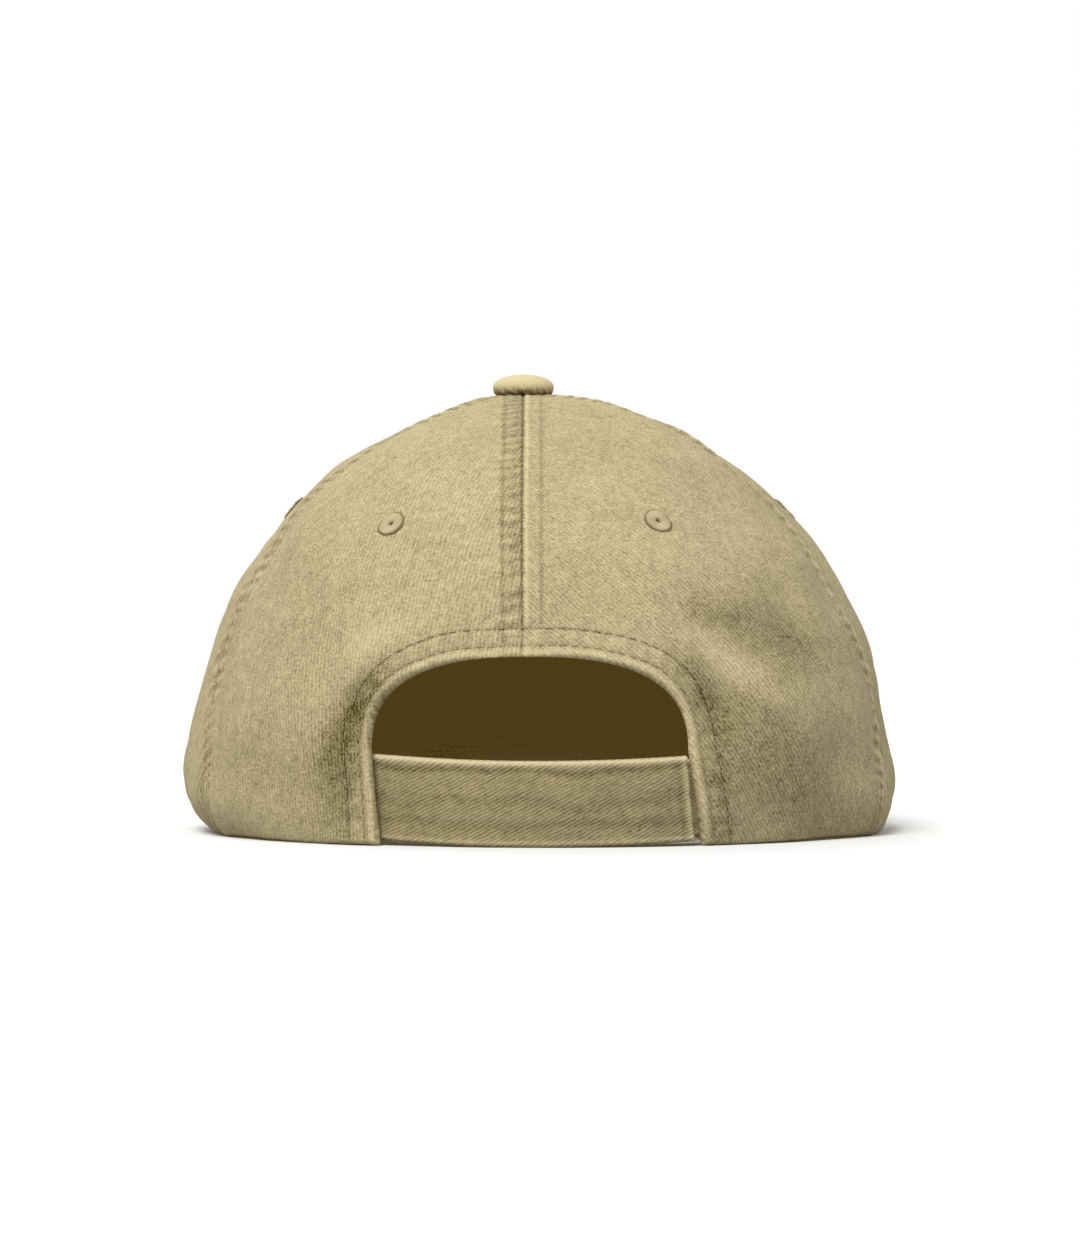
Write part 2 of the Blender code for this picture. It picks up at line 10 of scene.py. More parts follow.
import bmesh
import bpy
import numpy as np
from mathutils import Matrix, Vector


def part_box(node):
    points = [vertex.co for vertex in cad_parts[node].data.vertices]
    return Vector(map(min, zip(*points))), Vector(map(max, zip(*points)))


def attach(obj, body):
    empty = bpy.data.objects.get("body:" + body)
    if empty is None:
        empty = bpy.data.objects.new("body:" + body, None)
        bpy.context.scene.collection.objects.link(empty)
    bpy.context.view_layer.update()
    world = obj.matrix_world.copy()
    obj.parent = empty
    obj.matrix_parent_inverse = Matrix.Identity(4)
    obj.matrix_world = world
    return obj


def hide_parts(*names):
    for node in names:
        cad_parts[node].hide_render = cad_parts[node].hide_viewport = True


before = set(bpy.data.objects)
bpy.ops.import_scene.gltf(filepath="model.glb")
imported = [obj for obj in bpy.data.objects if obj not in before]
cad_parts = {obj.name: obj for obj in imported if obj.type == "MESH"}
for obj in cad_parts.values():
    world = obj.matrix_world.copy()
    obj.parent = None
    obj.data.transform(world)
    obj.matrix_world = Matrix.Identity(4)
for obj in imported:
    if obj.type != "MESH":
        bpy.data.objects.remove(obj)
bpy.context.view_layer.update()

# ---------------------------------------------------------------- camera, floor and light
# The cap stands with its back to the camera, seen from a little over its own length times
# four, level with the middle of the crown. One broad light stands high on the left of the
# view, and the room fills the rest with soft, even light.
CROWN_MIDDLE_Y = 0.0345
CAMERA_DISTANCE = 1.2
CAMERA_HEIGHT = 0.055
CAMERA_LENS = 133.9
CAMERA_DIP = 0.00087

camera_data = bpy.data.cameras.new("camera")
camera_data.lens = CAMERA_LENS
camera = bpy.data.objects.new("camera", camera_data)
camera.location = (0.0, CROWN_MIDDLE_Y + CAMERA_DISTANCE, CAMERA_HEIGHT)
camera.rotation_euler = (math.radians(90.0) - CAMERA_DIP, 0.0, math.radians(180.0))
bpy.context.scene.collection.objects.link(camera)
bpy.context.scene.camera = camera
bpy.context.scene.view_settings.view_transform = "Standard"


def add_soft_sun(name, direction, strength, spread):
    """A light as wide as a large window, shining evenly from one direction over cap and floor."""
    data = bpy.data.lights.new(name, "SUN")
    data.energy = strength
    data.angle = math.radians(spread)
    light = bpy.data.objects.new(name, data)
    light.location = Vector(direction)
    light.rotation_euler = (-Vector(direction)).to_track_quat("-Z", "Y").to_euler()
    bpy.context.scene.collection.objects.link(light)


add_soft_sun("key_light", (0.30, 0.72, 1.00), 2.05, 28.0)
add_soft_sun("front_light", (0.35, -1.00, 0.80), 0.80, 40.0)


def set_inputs(node, values):
    """Set a node's inputs by name."""
    for name, value in values.items():
        node.inputs[name].default_value = value


def choose_by_ray(tree, target, seen, lighting):
    """Give an input one value for what the camera sees and another for the light that it sends on."""
    ray = tree.nodes.new("ShaderNodeLightPath")
    choice = tree.nodes.new("ShaderNodeMath")
    choice.operation = "MULTIPLY_ADD"
    choice.inputs[1].default_value = seen - lighting
    choice.inputs[2].default_value = lighting
    tree.links.new(ray.outputs["Is Camera Ray"], choice.inputs[0])
    tree.links.new(choice.outputs[0], target)


world = bpy.data.worlds.new("room")
world.use_nodes = True
bpy.context.scene.world = world
room = world.node_tree.nodes["Background"]
room.inputs["Color"].default_value = (1.0, 1.0, 1.0, 1.0)
choose_by_ray(world.node_tree, room.inputs["Strength"], 1.0, 0.58)

FLOOR_HALF = 4.0
floor_mesh = bpy.data.meshes.new("floor")
floor_corners = [(x * FLOOR_HALF, y * FLOOR_HALF, 0.0) for x, y in ((-1, -1), (1, -1), (1, 1), (-1, 1))]
floor_mesh.from_pydata(floor_corners, [], [(0, 1, 2, 3)])
floor_paint = bpy.data.materials.new("pale_floor")
floor_paint.use_nodes = True
floor_shader = floor_paint.node_tree.nodes["Principled BSDF"]
set_inputs(floor_shader, {"Roughness": 0.9, "Specular IOR Level": 0.1})
choose_by_ray(floor_paint.node_tree, floor_shader.inputs["Base Color"], 0.93, 0.45)
floor_mesh.materials.append(floor_paint)
floor = bpy.data.objects.new("floor", floor_mesh)
bpy.context.scene.collection.objects.link(floor)

# ---------------------------------------------------------------- back panels
# Two panels of washed khaki twill, cut from one cloth on different grains, so the twill runs
# upright on one and slants on the other. They meet in a seam pressed to one side, and the
# arch cut out of them is bound by a hem turned to the inside and held by two rows of stitches.
CROWN_WIDTH = 0.182
CROWN_LENGTH = 0.200
CROWN_HEIGHT = 0.1118
SIDE_FULLNESS = 2.2
FRONT_FULLNESS = 2.6
CROWN_LEAN = 0.0043
CROWN_SWAYS = ((0.35, 0.18, -0.0005), (0.85, 0.12, 0.0011))
WALL = 0.0016
RIM_WALL = 0.0024
RIM_SWELL = 0.0015
RIM_SWELL_HEIGHT = 0.0095
RIM_SWELL_REACH = 0.009
RIM_TUCK = 0.0024
RIM_TUCK_REACH = 0.0034
LEFT_TUCK = 0.0036
LEFT_TUCK_PLACE = math.radians(78.0)
LEFT_TUCK_SPREAD = math.radians(22.0)
RIM_LIFT_START = math.radians(78.0)
BACK_SEAM = math.radians(68.0)
FRONT_SEAM = math.radians(122.5)
SEAM_BOW = math.radians(6.4)
PEAK_CORNER = math.radians(118.0)
PEAK_BEND = 0.185
PEAK_SLOPE = 0.15
PEAK_SEAM_DEPTH = 0.0045
CLEARANCE = 0.0003
CREASES = (               # soft hollows and rolls: middle across and up, length, width, turn, rise
    (0.047, 0.034, 0.011, 0.0075, 1.15, -0.0017),
    (-0.045, 0.037, 0.012, 0.008, -1.00, -0.0014),
    (-0.055, 0.054, 0.022, 0.009, -0.35, -0.0013),
    (-0.056, 0.040, 0.024, 0.0065, 0.55, 0.0012),
    (0.060, 0.060, 0.024, 0.010, 0.60, -0.0010),
    (0.062, 0.014, 0.020, 0.008, 0.10, -0.0007),
)
BACK_PAINTED_SHADE_AND_LIGHT = (                # painted shade in hollows and painted light on folds of the back panels, told in the same way
    (0.0425, 0.0345, 0.0125, 0.0048, -1.05, -0.55),
    (0.0475, 0.017, 0.018, 0.006, 1.62, -0.36),
    (0.0555, 0.025, 0.011, 0.006, 1.30, -0.16),
    (0.036, 0.052, 0.012, 0.005, -0.50, 0.12),
    (0.044, 0.046, 0.008, 0.005, -0.80, 0.14),
    (0.064, 0.014, 0.018, 0.012, 0.20, -0.16),
    (-0.0395, 0.037, 0.010, 0.0042, 1.05, -0.42),
    (-0.042, 0.016, 0.016, 0.005, 1.57, -0.34),
    (-0.056, 0.020, 0.020, 0.013, 1.30, -0.42),
    (-0.048, 0.043, 0.019, 0.0038, 0.63, 0.30),
    (-0.061, 0.050, 0.015, 0.006, 0.30, -0.30),
    (-0.040, 0.0555, 0.013, 0.0045, 0.10, -0.26),
    (-0.036, 0.078, 0.022, 0.014, 0.50, 0.09),
    (-0.072, 0.012, 0.010, 0.012, 0.00, -0.14),
)
ARCH_HALF_WIDTH = 0.0385
ARCH_CENTRE = 0.0025
ARCH_TOP = 0.0457
ARCH_SPRING = 0.0230
ARCH_FULLNESS = 2.55
ARCH_RIGHT_FLARE = 0.0034
ARCH_LEFT_FLARE = -0.0021
HALF_WIDTH = CROWN_WIDTH / 2
HALF_LENGTH = CROWN_LENGTH / 2

SEAM_ROW = 0.0046         # from a seam to the row of stitches beside it
ARCH_ROWS = (0.0030, 0.0075)
PUCKER_PITCH = 0.0041
HEM_FOLD = 0.0014         # radius of the rim's folded edge
ARCH_FOLD = 0.0010        # radius of the arch's folded edge


def ease(value, start, end):
    """0 before start, 1 after end, and a smooth step between them."""
    share = np.clip((value - start) / (end - start), 0.0, 1.0)
    return share * share * (3.0 - 2.0 * share)


def hill(value, middle, spread):
    """A smooth hill of height 1 around the middle."""
    return np.exp(-(((value - middle) / spread) ** 2))


def fullness(azimuth):
    """Exponent of the crown's height, which grows from the sides to the front."""
    return SIDE_FULLNESS + (FRONT_FULLNESS - SIDE_FULLNESS) * np.clip(-np.cos(azimuth), 0.0, 1.0) ** 2


def band_offset(azimuth, height):
    """How far the wall stands out of the plain dome near the rim, where it swells and turns under."""
    beside = ease(np.abs(azimuth), math.radians(30.0), math.radians(60.0))
    swell = RIM_SWELL * hill(height, RIM_SWELL_HEIGHT, RIM_SWELL_REACH)
    pressed = hill(azimuth, LEFT_TUCK_PLACE, LEFT_TUCK_SPREAD)
    tuck = (RIM_TUCK + LEFT_TUCK * pressed) * np.exp(-height / RIM_TUCK_REACH)
    return beside * (swell - tuck)


def sway_offset(azimuth, share):
    """The soft dome stands a little to one side low down and to the other near its top."""
    shift = sum(rise * hill(share, middle, spread) for middle, spread, rise in CROWN_SWAYS)
    return shift * (1.0 - ease(share, 0.93, 1.0)) * np.sin(azimuth)


def run_along(points):
    """How far a line has run at each of its points."""
    return np.append(0.0, np.cumsum(np.linalg.norm(np.diff(points, axis=0), axis=-1)))


def long_hills(table, x, z):
    """Sum of long hills, each (its middle across and up, length, width, turn in radians, rise)."""
    total = np.zeros_like(x)
    for middle, height, along, across, turn, rise in table:
        right, up = x - middle, z - height
        lengthways = (right * math.cos(turn) + up * math.sin(turn)) / along
        sideways = (up * math.cos(turn) - right * math.sin(turn)) / across
        total += rise * np.exp(-(lengthways**2) - sideways**2)
    return total


def crease_offset(x, y, z):
    """Sum of the back panels' soft hollows and rolls, each a hill turned in its own plane."""
    return long_hills(CREASES, x, z) * ease(y, 0.0, 0.25 * HALF_LENGTH) * ease(z, 0.0, 0.016)


PEAK_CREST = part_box("peak")[1].z - PEAK_SLOPE * (PEAK_SEAM_DEPTH - float(band_offset(math.pi, 0.0)))


def peak_fall(x, y):
    """How far the peak's top has dropped from its highest point, by its bend and by its slope."""
    bend = PEAK_BEND - np.sqrt(PEAK_BEND**2 - np.minimum(np.abs(x), 0.95 * PEAK_BEND) ** 2)
    return bend + PEAK_SLOPE * (-y - HALF_LENGTH)


def rim_height(azimuth):
    """Height of the crown's lower edge: on the ground behind, and over the peak in front."""
    out = band_offset(azimuth, 0.0)
    fall = peak_fall((HALF_WIDTH + out) * np.sin(azimuth), (HALF_LENGTH + out) * np.cos(azimuth))
    lifted = ease(np.abs(azimuth), RIM_LIFT_START, PEAK_CORNER - math.radians(2.0))
    return (PEAK_CREST - fall + CLEARANCE) * lifted


def to_disc(x, y):
    """Plan point to a disc of radius 1 where the steep wall near the rim isn't squeezed together."""
    reach = np.minimum(np.hypot(x / HALF_WIDTH, y / HALF_LENGTH), 1.0)
    azimuth = np.arctan2(x / HALF_WIDTH, y / HALF_LENGTH)
    radius = np.arcsin(reach) / (math.pi / 2)
    return radius * np.sin(azimuth), radius * np.cos(azimuth)


def from_disc(across, ahead):
    """The plan point for a point of the disc."""
    radius = np.minimum(np.hypot(across, ahead), 1.0)
    azimuth = np.arctan2(across, ahead)
    reach = np.sin(radius * math.pi / 2)
    return HALF_WIDTH * reach * np.sin(azimuth), HALF_LENGTH * reach * np.cos(azimuth)


def bowed(azimuth, radius):
    """Azimuth moved forward at middle height, since the seams bow toward the cap's sides as they rise."""
    middle = ease(radius, 0.12, 0.51) * (1.0 - ease(radius, 0.75, 1.0))
    sideways = np.sin(azimuth)
    return azimuth + SEAM_BOW * sideways * np.abs(sideways) * (1.0 + np.cos(azimuth)) * middle


def crown_at(across, ahead):
    """The crown's outer face over a point of the disc, before any relief.

    The dome is an ellipse in plan and a superellipse in height. Its swell, sway and creases
    push it outward along the azimuth.
    """
    radius = np.minimum(np.hypot(across, ahead), 1.0)
    azimuth = bowed(np.arctan2(across, ahead), radius)
    rim = rim_height(azimuth)
    share = np.maximum(np.cos(radius * math.pi / 2), 0.0) ** (2.0 / fullness(azimuth))
    x, y = from_disc(radius * np.sin(azimuth), radius * np.cos(azimuth))
    z = rim + (CROWN_HEIGHT - rim) * share
    out = band_offset(azimuth, z - rim) + sway_offset(azimuth, share) + crease_offset(x, y, z)
    return np.stack((x + out * np.sin(azimuth), y + out * np.cos(azimuth) + CROWN_MIDDLE_Y, z), axis=-1)


def unit(vectors):
    """Vectors of length 1 along the last axis."""
    return vectors / np.maximum(np.linalg.norm(vectors, axis=-1, keepdims=True), 1e-12)


def crown_frame(across, ahead):
    """Points of the crown's outer face and its outward normals, from differences across the disc."""
    step = 2e-3
    inset = np.minimum(1.0, (1.0 - step) / np.maximum(np.hypot(across, ahead), 1e-9))
    u, v = across * inset, ahead * inset
    along_u = crown_at(u + step, v) - crown_at(u - step, v)
    along_v = crown_at(u, v + step) - crown_at(u, v - step)
    return crown_at(across, ahead), unit(np.cross(along_u, along_v))


def seam_bearing(azimuth):
    """Bearing from the point where the panels meet to a place on the rim."""
    across = HALF_WIDTH * math.sin(azimuth) - CROWN_LEAN
    if abs(math.sin(azimuth)) < 1e-6:
        across = 0.0
    return math.atan2(across, HALF_LENGTH * math.cos(azimuth))


def ray_to_ellipse(bearings, reach):
    """Distance along each bearing from where the panels meet to the ellipse reach times the rim."""
    across, ahead = np.sin(bearings) / HALF_WIDTH, np.cos(bearings) / HALF_LENGTH
    start = CROWN_LEAN / HALF_WIDTH
    square = across**2 + ahead**2
    cross = across * start
    return (-cross + np.sqrt(np.maximum(cross**2 - square * (start**2 - reach**2), 0.0))) / square


def seam_plan(bearing, far):
    """Plan points along a seam line, at distances from where the panels meet."""
    return CROWN_LEAN + far * math.sin(bearing), far * math.cos(bearing)


def seam_run(bearing):
    """A seam line from the top to the rim: plan distances and how far the cloth has run at each."""
    to_rim = float(ray_to_ellipse(np.array([bearing]), 1.0)[0])
    turn = 1.0 - (1.0 - np.linspace(0.0, 1.0, 500)) ** 2
    far = to_rim * turn
    far[-1] = to_rim
    return far, run_along(crown_at(*to_disc(*seam_plan(bearing, far))))


SEAMS = {
    "back": seam_bearing(0.0),
    "back_left": seam_bearing(BACK_SEAM),
    "front_left": seam_bearing(FRONT_SEAM),
    "front": seam_bearing(math.pi),
    "front_right": seam_bearing(-FRONT_SEAM),
    "back_right": seam_bearing(-BACK_SEAM),
}

WAVE_SIZES = (            # length and rise
    (0.050, 0.00030),
    (0.034, 0.00022),
    (0.022, 0.00014),
    (0.013, 0.00007),
    (0.008, 0.00004),
)
wave_random = np.random.default_rng(11)
WAVES = []
for wave_length, wave_rise in WAVE_SIZES:
    for _ in range(5):
        direction = wave_random.normal(size=3)
        direction /= np.linalg.norm(direction)
        phase = wave_random.uniform(0.0, 1.0)
        WAVES.append((direction / wave_length, phase, wave_rise * wave_random.uniform(0.5, 1.0)))


def rumple(points):
    """The soft unevenness of washed cloth: low waves in many directions, added up."""
    total = np.zeros(points.shape[:-1])
    for direction, phase, rise in WAVES:
        total += rise * np.sin(2 * math.pi * (points @ direction + phase))
    return total


def seam_relief(distance, run, pressed, pucker, seed):
    """Height and tone of the cloth beside a seam.

    The seam itself is a ditch. The allowance behind it lifts a band as far as the row of
    stitches, which is pulled in. The side that the seam is pressed to has a raised fold, and
    the band puckers in slanting bars between the two rows.
    """
    turn = 2 * math.pi * run
    ditch = hill(distance, 0.0, 0.00040)
    band = 1.0 - ease(distance, SEAM_ROW - 0.0002, SEAM_ROW + 0.0010)
    groove = hill(distance, SEAM_ROW, 0.00050)
    fold = pressed * hill(distance, 0.0011, 0.00055)
    wander = 0.7 * np.sin(turn / 0.023 + seed) + 0.5 * np.sin(turn / 0.0091 + 2 * seed)
    bars = np.sin(2 * math.pi * (run + 0.35 * distance) / PUCKER_PITCH + wander)
    uneven = 0.65 + 0.35 * np.sin(turn / 0.031 + 3 * seed)
    window = ease(distance, 0.0002, 0.0012) * (1.0 - ease(distance, SEAM_ROW - 0.0004, SEAM_ROW + 0.0022))
    bars = pucker * bars * uneven * window
    height = 0.00024 * band - 0.00038 * ditch - 0.00020 * groove + 0.00026 * fold + 0.00010 * bars
    # painted shade in the ditch, the stitch groove and the dark blocks between puckers; painted light on
    # the pressed fold and on the crests of the bars
    blocks = pucker * ease(np.sin(turn / PUCKER_PITCH + wander), 0.0, 0.7) * hill(distance, 0.0016, 0.0014)
    tone = -0.38 * ditch - 0.22 * groove + 0.34 * fold + 0.22 * bars - 0.34 * blocks
    return height, tone


def seam_distance(x, y, bearing):
    """Distance in plan from a seam line, and how far the seam has run level with the point."""
    right, forward = x - CROWN_LEAN, y
    along = right * math.sin(bearing) + forward * math.cos(bearing)
    beside = np.abs(right * math.cos(bearing) - forward * math.sin(bearing))
    far, run = seam_run(bearing)
    return np.where(along > 0.0, beside, np.hypot(right, forward)), np.interp(along, far, run)


def spaced(stretches):
    """Shares from 0 to 1 made of stretches, each (its end, how many steps it has)."""
    shares, start = [0.0], 0.0
    for end, steps in stretches:
        shares += list(np.linspace(start, end, steps + 1)[1:])
        start = end
    return np.array(shares)


def rounded(distance, radius):
    """Share of its full thickness that cloth has near a free edge, which is a half round."""
    return np.sqrt(np.maximum(1.0 - (1.0 - np.clip(distance / radius, 0.0, 1.0)) ** 2, 0.0))


def make_mesh(name, points, faces, finishes, face_finish, weave, tone):
    """A mesh from points and four-sided faces, with points in the same place welded into one.

    weave holds where each point lies on its cloth, in metres, and becomes the UV map. tone
    makes the cloth paler (+) and darker (-) there: it holds wear and also painted light and shade.
    """
    keys = np.round(points * 1e7).astype(np.int64)
    _, first, same = np.unique(keys, axis=0, return_index=True, return_inverse=True)
    same = same.reshape(-1)
    welded = same[faces]
    kept, kept_finish, corners = [], [], []
    repeat = np.zeros(len(faces), bool)
    for corner in range(4):
        repeat |= welded[:, corner] == welded[:, (corner + 1) % 4]
    for face, old, finish, pinched in zip(welded.tolist(), faces.tolist(), face_finish, repeat):
        if pinched:
            pairs = [(v, o) for k, (v, o) in enumerate(zip(face, old)) if v != face[k - 1]]
            if len({v for v, _ in pairs}) < 3:
                continue
            face, old = [v for v, _ in pairs], [o for _, o in pairs]
        kept.append(face)
        corners += old
        kept_finish.append(finish)
    mesh = bpy.data.meshes.new(name)
    mesh.from_pydata(points[first].tolist(), [], kept)
    for finish in finishes:
        mesh.materials.append(finish)
    mesh.polygons.foreach_set("material_index", np.array(kept_finish, np.int32))
    mesh.polygons.foreach_set("use_smooth", np.ones(len(kept), bool))
    cloth_map = mesh.uv_layers.new(name="cloth")
    cloth_map.data.foreach_set("uv", weave[np.array(corners)].astype(np.float32).ravel())
    painted_light_and_wear = mesh.attributes.new("tone", "FLOAT", "POINT")
    painted_light_and_wear.data.foreach_set("value", tone[first].astype(np.float32))
    shell = bmesh.new()
    shell.from_mesh(mesh)
    bmesh.ops.recalc_face_normals(shell, faces=shell.faces)
    shell.to_mesh(mesh)
    shell.free()
    return mesh


def add_piece(name, mesh, replaced=()):
    """Put a finished mesh in the scene as a piece that rides on the cap."""
    piece = bpy.data.objects.new(name, mesh)
    bpy.context.scene.collection.objects.link(piece)
    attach(piece, "root")
    if replaced:
        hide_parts(*replaced)
    return piece


def grid_faces(rows, columns, start=0, flip=False):
    """Four-sided faces of a grid of points numbered row by row."""
    index = np.arange(rows * columns).reshape(rows, columns) + start
    faces = np.stack((index[:-1, :-1], index[1:, :-1], index[1:, 1:], index[:-1, 1:]), axis=-1)
    faces = faces.reshape(-1, 4)
    return faces[:, ::-1] if flip else faces


def cloth_wall(name, face, normal, thickness, edge, lift, weave, tone, finishes, holes=(), inside_shade_cells=None):
    """A closed wall of cloth: its outer face lifted by the relief, its inner face, and its edges.

    edge is the share of the thickness left beside a free edge. Where it falls to nothing the
    two faces meet in a half round. Elsewhere a strip of cloth joins them, also round each
    hole, a (centre, radius). Marked cells wear the inner finish on their outer face, and with it
    the painted shade that the inner finish carries on the crown and the peak.
    """
    rows, columns = lift.shape
    half = (thickness / 2 * np.ones_like(lift))[..., None]
    middle = face - normal * half
    outer = middle + normal * (half * edge[..., None] + lift[..., None])
    inner = middle - normal * (half * edge[..., None] - 0.6 * lift[..., None])
    points = np.concatenate((outer.reshape(-1, 3), inner.reshape(-1, 3)))
    second = rows * columns
    cells = (face[:-1, :-1] + face[1:, 1:]) / 2
    kept = np.ones((rows - 1, columns - 1), bool)
    for centre, radius in holes:
        kept &= np.linalg.norm(cells - centre, axis=-1) > radius
    framed = np.pad(kept, 1)
    index = np.arange(rows * columns).reshape(rows, columns)
    down_edge = framed[1:-1, :-1] != framed[1:-1, 1:]
    over_edge = framed[:-1, 1:-1] != framed[1:, 1:-1]
    starts = np.concatenate((index[:-1, :][down_edge], index[:, :-1][over_edge]))
    ends = np.concatenate((index[1:, :][down_edge], index[:, 1:][over_edge]))
    sides = np.stack((starts, ends, ends + second, starts + second), axis=-1)
    outside = grid_faces(rows, columns)[kept.ravel()]
    inside = grid_faces(rows, columns, second, flip=True)[kept.ravel()]
    faces = np.concatenate((outside, inside, sides))
    plain = np.zeros(len(outside), int) if inside_shade_cells is None else inside_shade_cells.ravel()[kept.ravel()].astype(int)
    side_finish = 0 if inside_shade_cells is None else 1
    face_finish = list(plain) + [1] * len(inside) + [side_finish] * len(sides)
    both_weave = np.concatenate((weave.reshape(-1, 2), weave.reshape(-1, 2)))
    both_tone = np.concatenate((tone.ravel(), tone.ravel()))
    return make_mesh(name, points, faces, finishes, face_finish, both_weave, both_tone)


TWILL_DARK = (0.070, 0.048, 0.000, 1.0)
TWILL_LIGHT = (0.690, 0.590, 0.346, 1.0)
TWILL_INPUTS = {
    "Dark": TWILL_DARK,
    "Light": TWILL_LIGHT,
    "Angle": 0.0,
    "Pitch": 0.001,
    "Ribs": 0.2,
    "Clouds": 0.3,
    "Grain": 1.0,
    # painted light and shade: the whole cloth made paler (+) and darker (-)
    "Shade": 0.0,
}
TWILL_OUTPUTS = {"Colour": "NodeSocketColor", "Roughness": "NodeSocketFloat", "Height": "NodeSocketFloat"}


def washed_twill_group():
    """Node group for washed cotton twill.

    Slanting ribs, each broken into short floats of yarn, carry a grain of pale and dark
    fibres. Broad clouds of fading lie over them. The tone attribute adds wear and painted
    light on raised folds, and painted shade in seams and hollows.
    """
    group = bpy.data.node_groups.new("washed_twill", "ShaderNodeTree")
    for name, value in TWILL_INPUTS.items():
        kind = "NodeSocketFloat" if isinstance(value, float) else "NodeSocketColor"
        group.interface.new_socket(name=name, in_out="INPUT", socket_type=kind).default_value = value
    for name, kind in TWILL_OUTPUTS.items():
        group.interface.new_socket(name=name, in_out="OUTPUT", socket_type=kind)
    nodes, links = group.nodes, group.links

    def calculate(operation, *values):
        """A chain of sums, differences, products or other steps over numbers and sockets."""
        total = values[0]
        for value in values[1:] or (None,):
            node = nodes.new("ShaderNodeMath")
            node.operation = operation
            for place, term in enumerate((total, value)):
                if isinstance(term, float):
                    node.inputs[place].default_value = term
                elif term:
                    links.new(term, node.inputs[place])
            total = node.outputs[0]
        return total

    def add(*values):
        return calculate("ADD", *values)

    def times(*values):
        return calculate("MULTIPLY", *values)

    def noise(vector, scale, detail, roughness=0.5, middle=0.5):
        node = nodes.new("ShaderNodeTexNoise")
        set_inputs(node, {"Scale": scale, "Detail": detail, "Roughness": roughness})
        links.new(vector, node.inputs["Vector"])
        return calculate("SUBTRACT", node.outputs["Fac"], middle)

    given = nodes.new("NodeGroupInput")
    result = nodes.new("NodeGroupOutput")
    cloth = nodes.new("ShaderNodeUVMap")
    cloth.uv_map = "cloth"
    place = nodes.new("ShaderNodeTexCoord")
    turned = nodes.new("ShaderNodeVectorRotate")
    turned.rotation_type = "Z_AXIS"
    links.new(cloth.outputs["UV"], turned.inputs["Vector"])
    links.new(given.outputs["Angle"], turned.inputs["Angle"])
    parts = nodes.new("ShaderNodeSeparateXYZ")
    links.new(turned.outputs["Vector"], parts.inputs["Vector"])
    drift = noise(turned.outputs["Vector"], 160.0, 1.0, middle=0.0)
    across = calculate("DIVIDE", parts.outputs["X"], given.outputs["Pitch"])
    across = add(across, times(drift, 0.9))
    ribs = calculate("SINE", times(across, 2 * math.pi))
    along = calculate("DIVIDE", parts.outputs["Y"], given.outputs["Pitch"])
    floats_place = nodes.new("ShaderNodeCombineXYZ")
    links.new(across, floats_place.inputs["X"])
    links.new(times(along, 0.28), floats_place.inputs["Y"])
    floats = noise(floats_place.outputs["Vector"], 1.3, 1.0)
    grain = noise(cloth.outputs["UV"], 1500.0, 2.0, 0.6)
    fleck = noise(place.outputs["Object"], 420.0, 2.0, 0.6)
    patch = noise(place.outputs["Object"], 75.0, 3.0, 0.55)
    cloud = noise(place.outputs["Object"], 22.0, 3.0, 0.6)
    painted_light_and_wear = nodes.new("ShaderNodeAttribute")
    painted_light_and_wear.attribute_name = "tone"
    weave = times(add(times(ribs, 0.5), times(floats, 1.7)), given.outputs["Ribs"])
    fading = times(add(times(patch, 0.8), cloud), given.outputs["Clouds"])
    speckle = times(add(times(grain, 1.40), times(fleck, 0.62)), given.outputs["Grain"])
    total = add(weave, speckle, fading, painted_light_and_wear.outputs["Fac"], given.outputs["Shade"])
    share = times(add(total, 0.85), 1.0 / 1.3)
    share.node.use_clamp = True
    colour = nodes.new("ShaderNodeMix")
    colour.data_type = "RGBA"
    links.new(share, colour.inputs[0])
    links.new(given.outputs["Dark"], colour.inputs[6])
    links.new(given.outputs["Light"], colour.inputs[7])
    links.new(colour.outputs[2], result.inputs["Colour"])
    links.new(calculate("SUBTRACT", 0.96, times(share, 0.10)), result.inputs["Roughness"])
    links.new(add(times(ribs, 0.5), floats, times(grain, 1.2)), result.inputs["Height"])
    return group


WASHED_TWILL = washed_twill_group()
SHEEN = {"Sheen Weight": 0.04, "Sheen Roughness": 0.6, "Sheen Tint": (0.80, 0.72, 0.52, 1.0)}
# painted shade: dark brown colours and a dark glow give the cap's inside a flat shaded look
INSIDE_PAINTED_SHADE = {"Dark": (0.060, 0.040, 0.007, 1.0), "Light": (0.095, 0.064, 0.013, 1.0)}
INSIDE_PAINTED_GLOW = {"Emission Color": (0.067, 0.044, 0.008, 1.0), "Emission Strength": 1.0}


def new_material(name, rise):
    """A material's nodes, links and shader, and a bump of a given rise joined to the shader."""
    material = bpy.data.materials.new(name)
    material.use_nodes = True
    nodes, links = material.node_tree.nodes, material.node_tree.links
    shader, bump = nodes["Principled BSDF"], nodes.new("ShaderNodeBump")
    set_inputs(bump, {"Strength": 0.5, "Distance": rise})
    links.new(bump.outputs["Normal"], shader.inputs["Normal"])
    return material, nodes, links, shader, bump


def twill_material(name, angle, glow=None, **settings):
    """Washed twill whose ribs run at an angle to the cloth's own upright.

    A glow, where given, is painted light that stands in for the light the pale floor and the far wall pass
    round inside the cap. With the dark inside colours it paints the cloth as flat shade.
    """
    material, nodes, links, shader, bump = new_material(name, 0.00016)
    twill = nodes.new("ShaderNodeGroup")
    twill.node_tree = WASHED_TWILL
    set_inputs(twill, {**TWILL_INPUTS, **settings, "Angle": math.radians(angle)})
    bump.inputs["Strength"].default_value = 0.45
    links.new(twill.outputs["Height"], bump.inputs["Height"])
    links.new(twill.outputs["Colour"], shader.inputs["Base Color"])
    links.new(twill.outputs["Roughness"], shader.inputs["Roughness"])
    set_inputs(shader, {"Specular IOR Level": 0.08, **SHEEN, **(glow or {})})
    return material


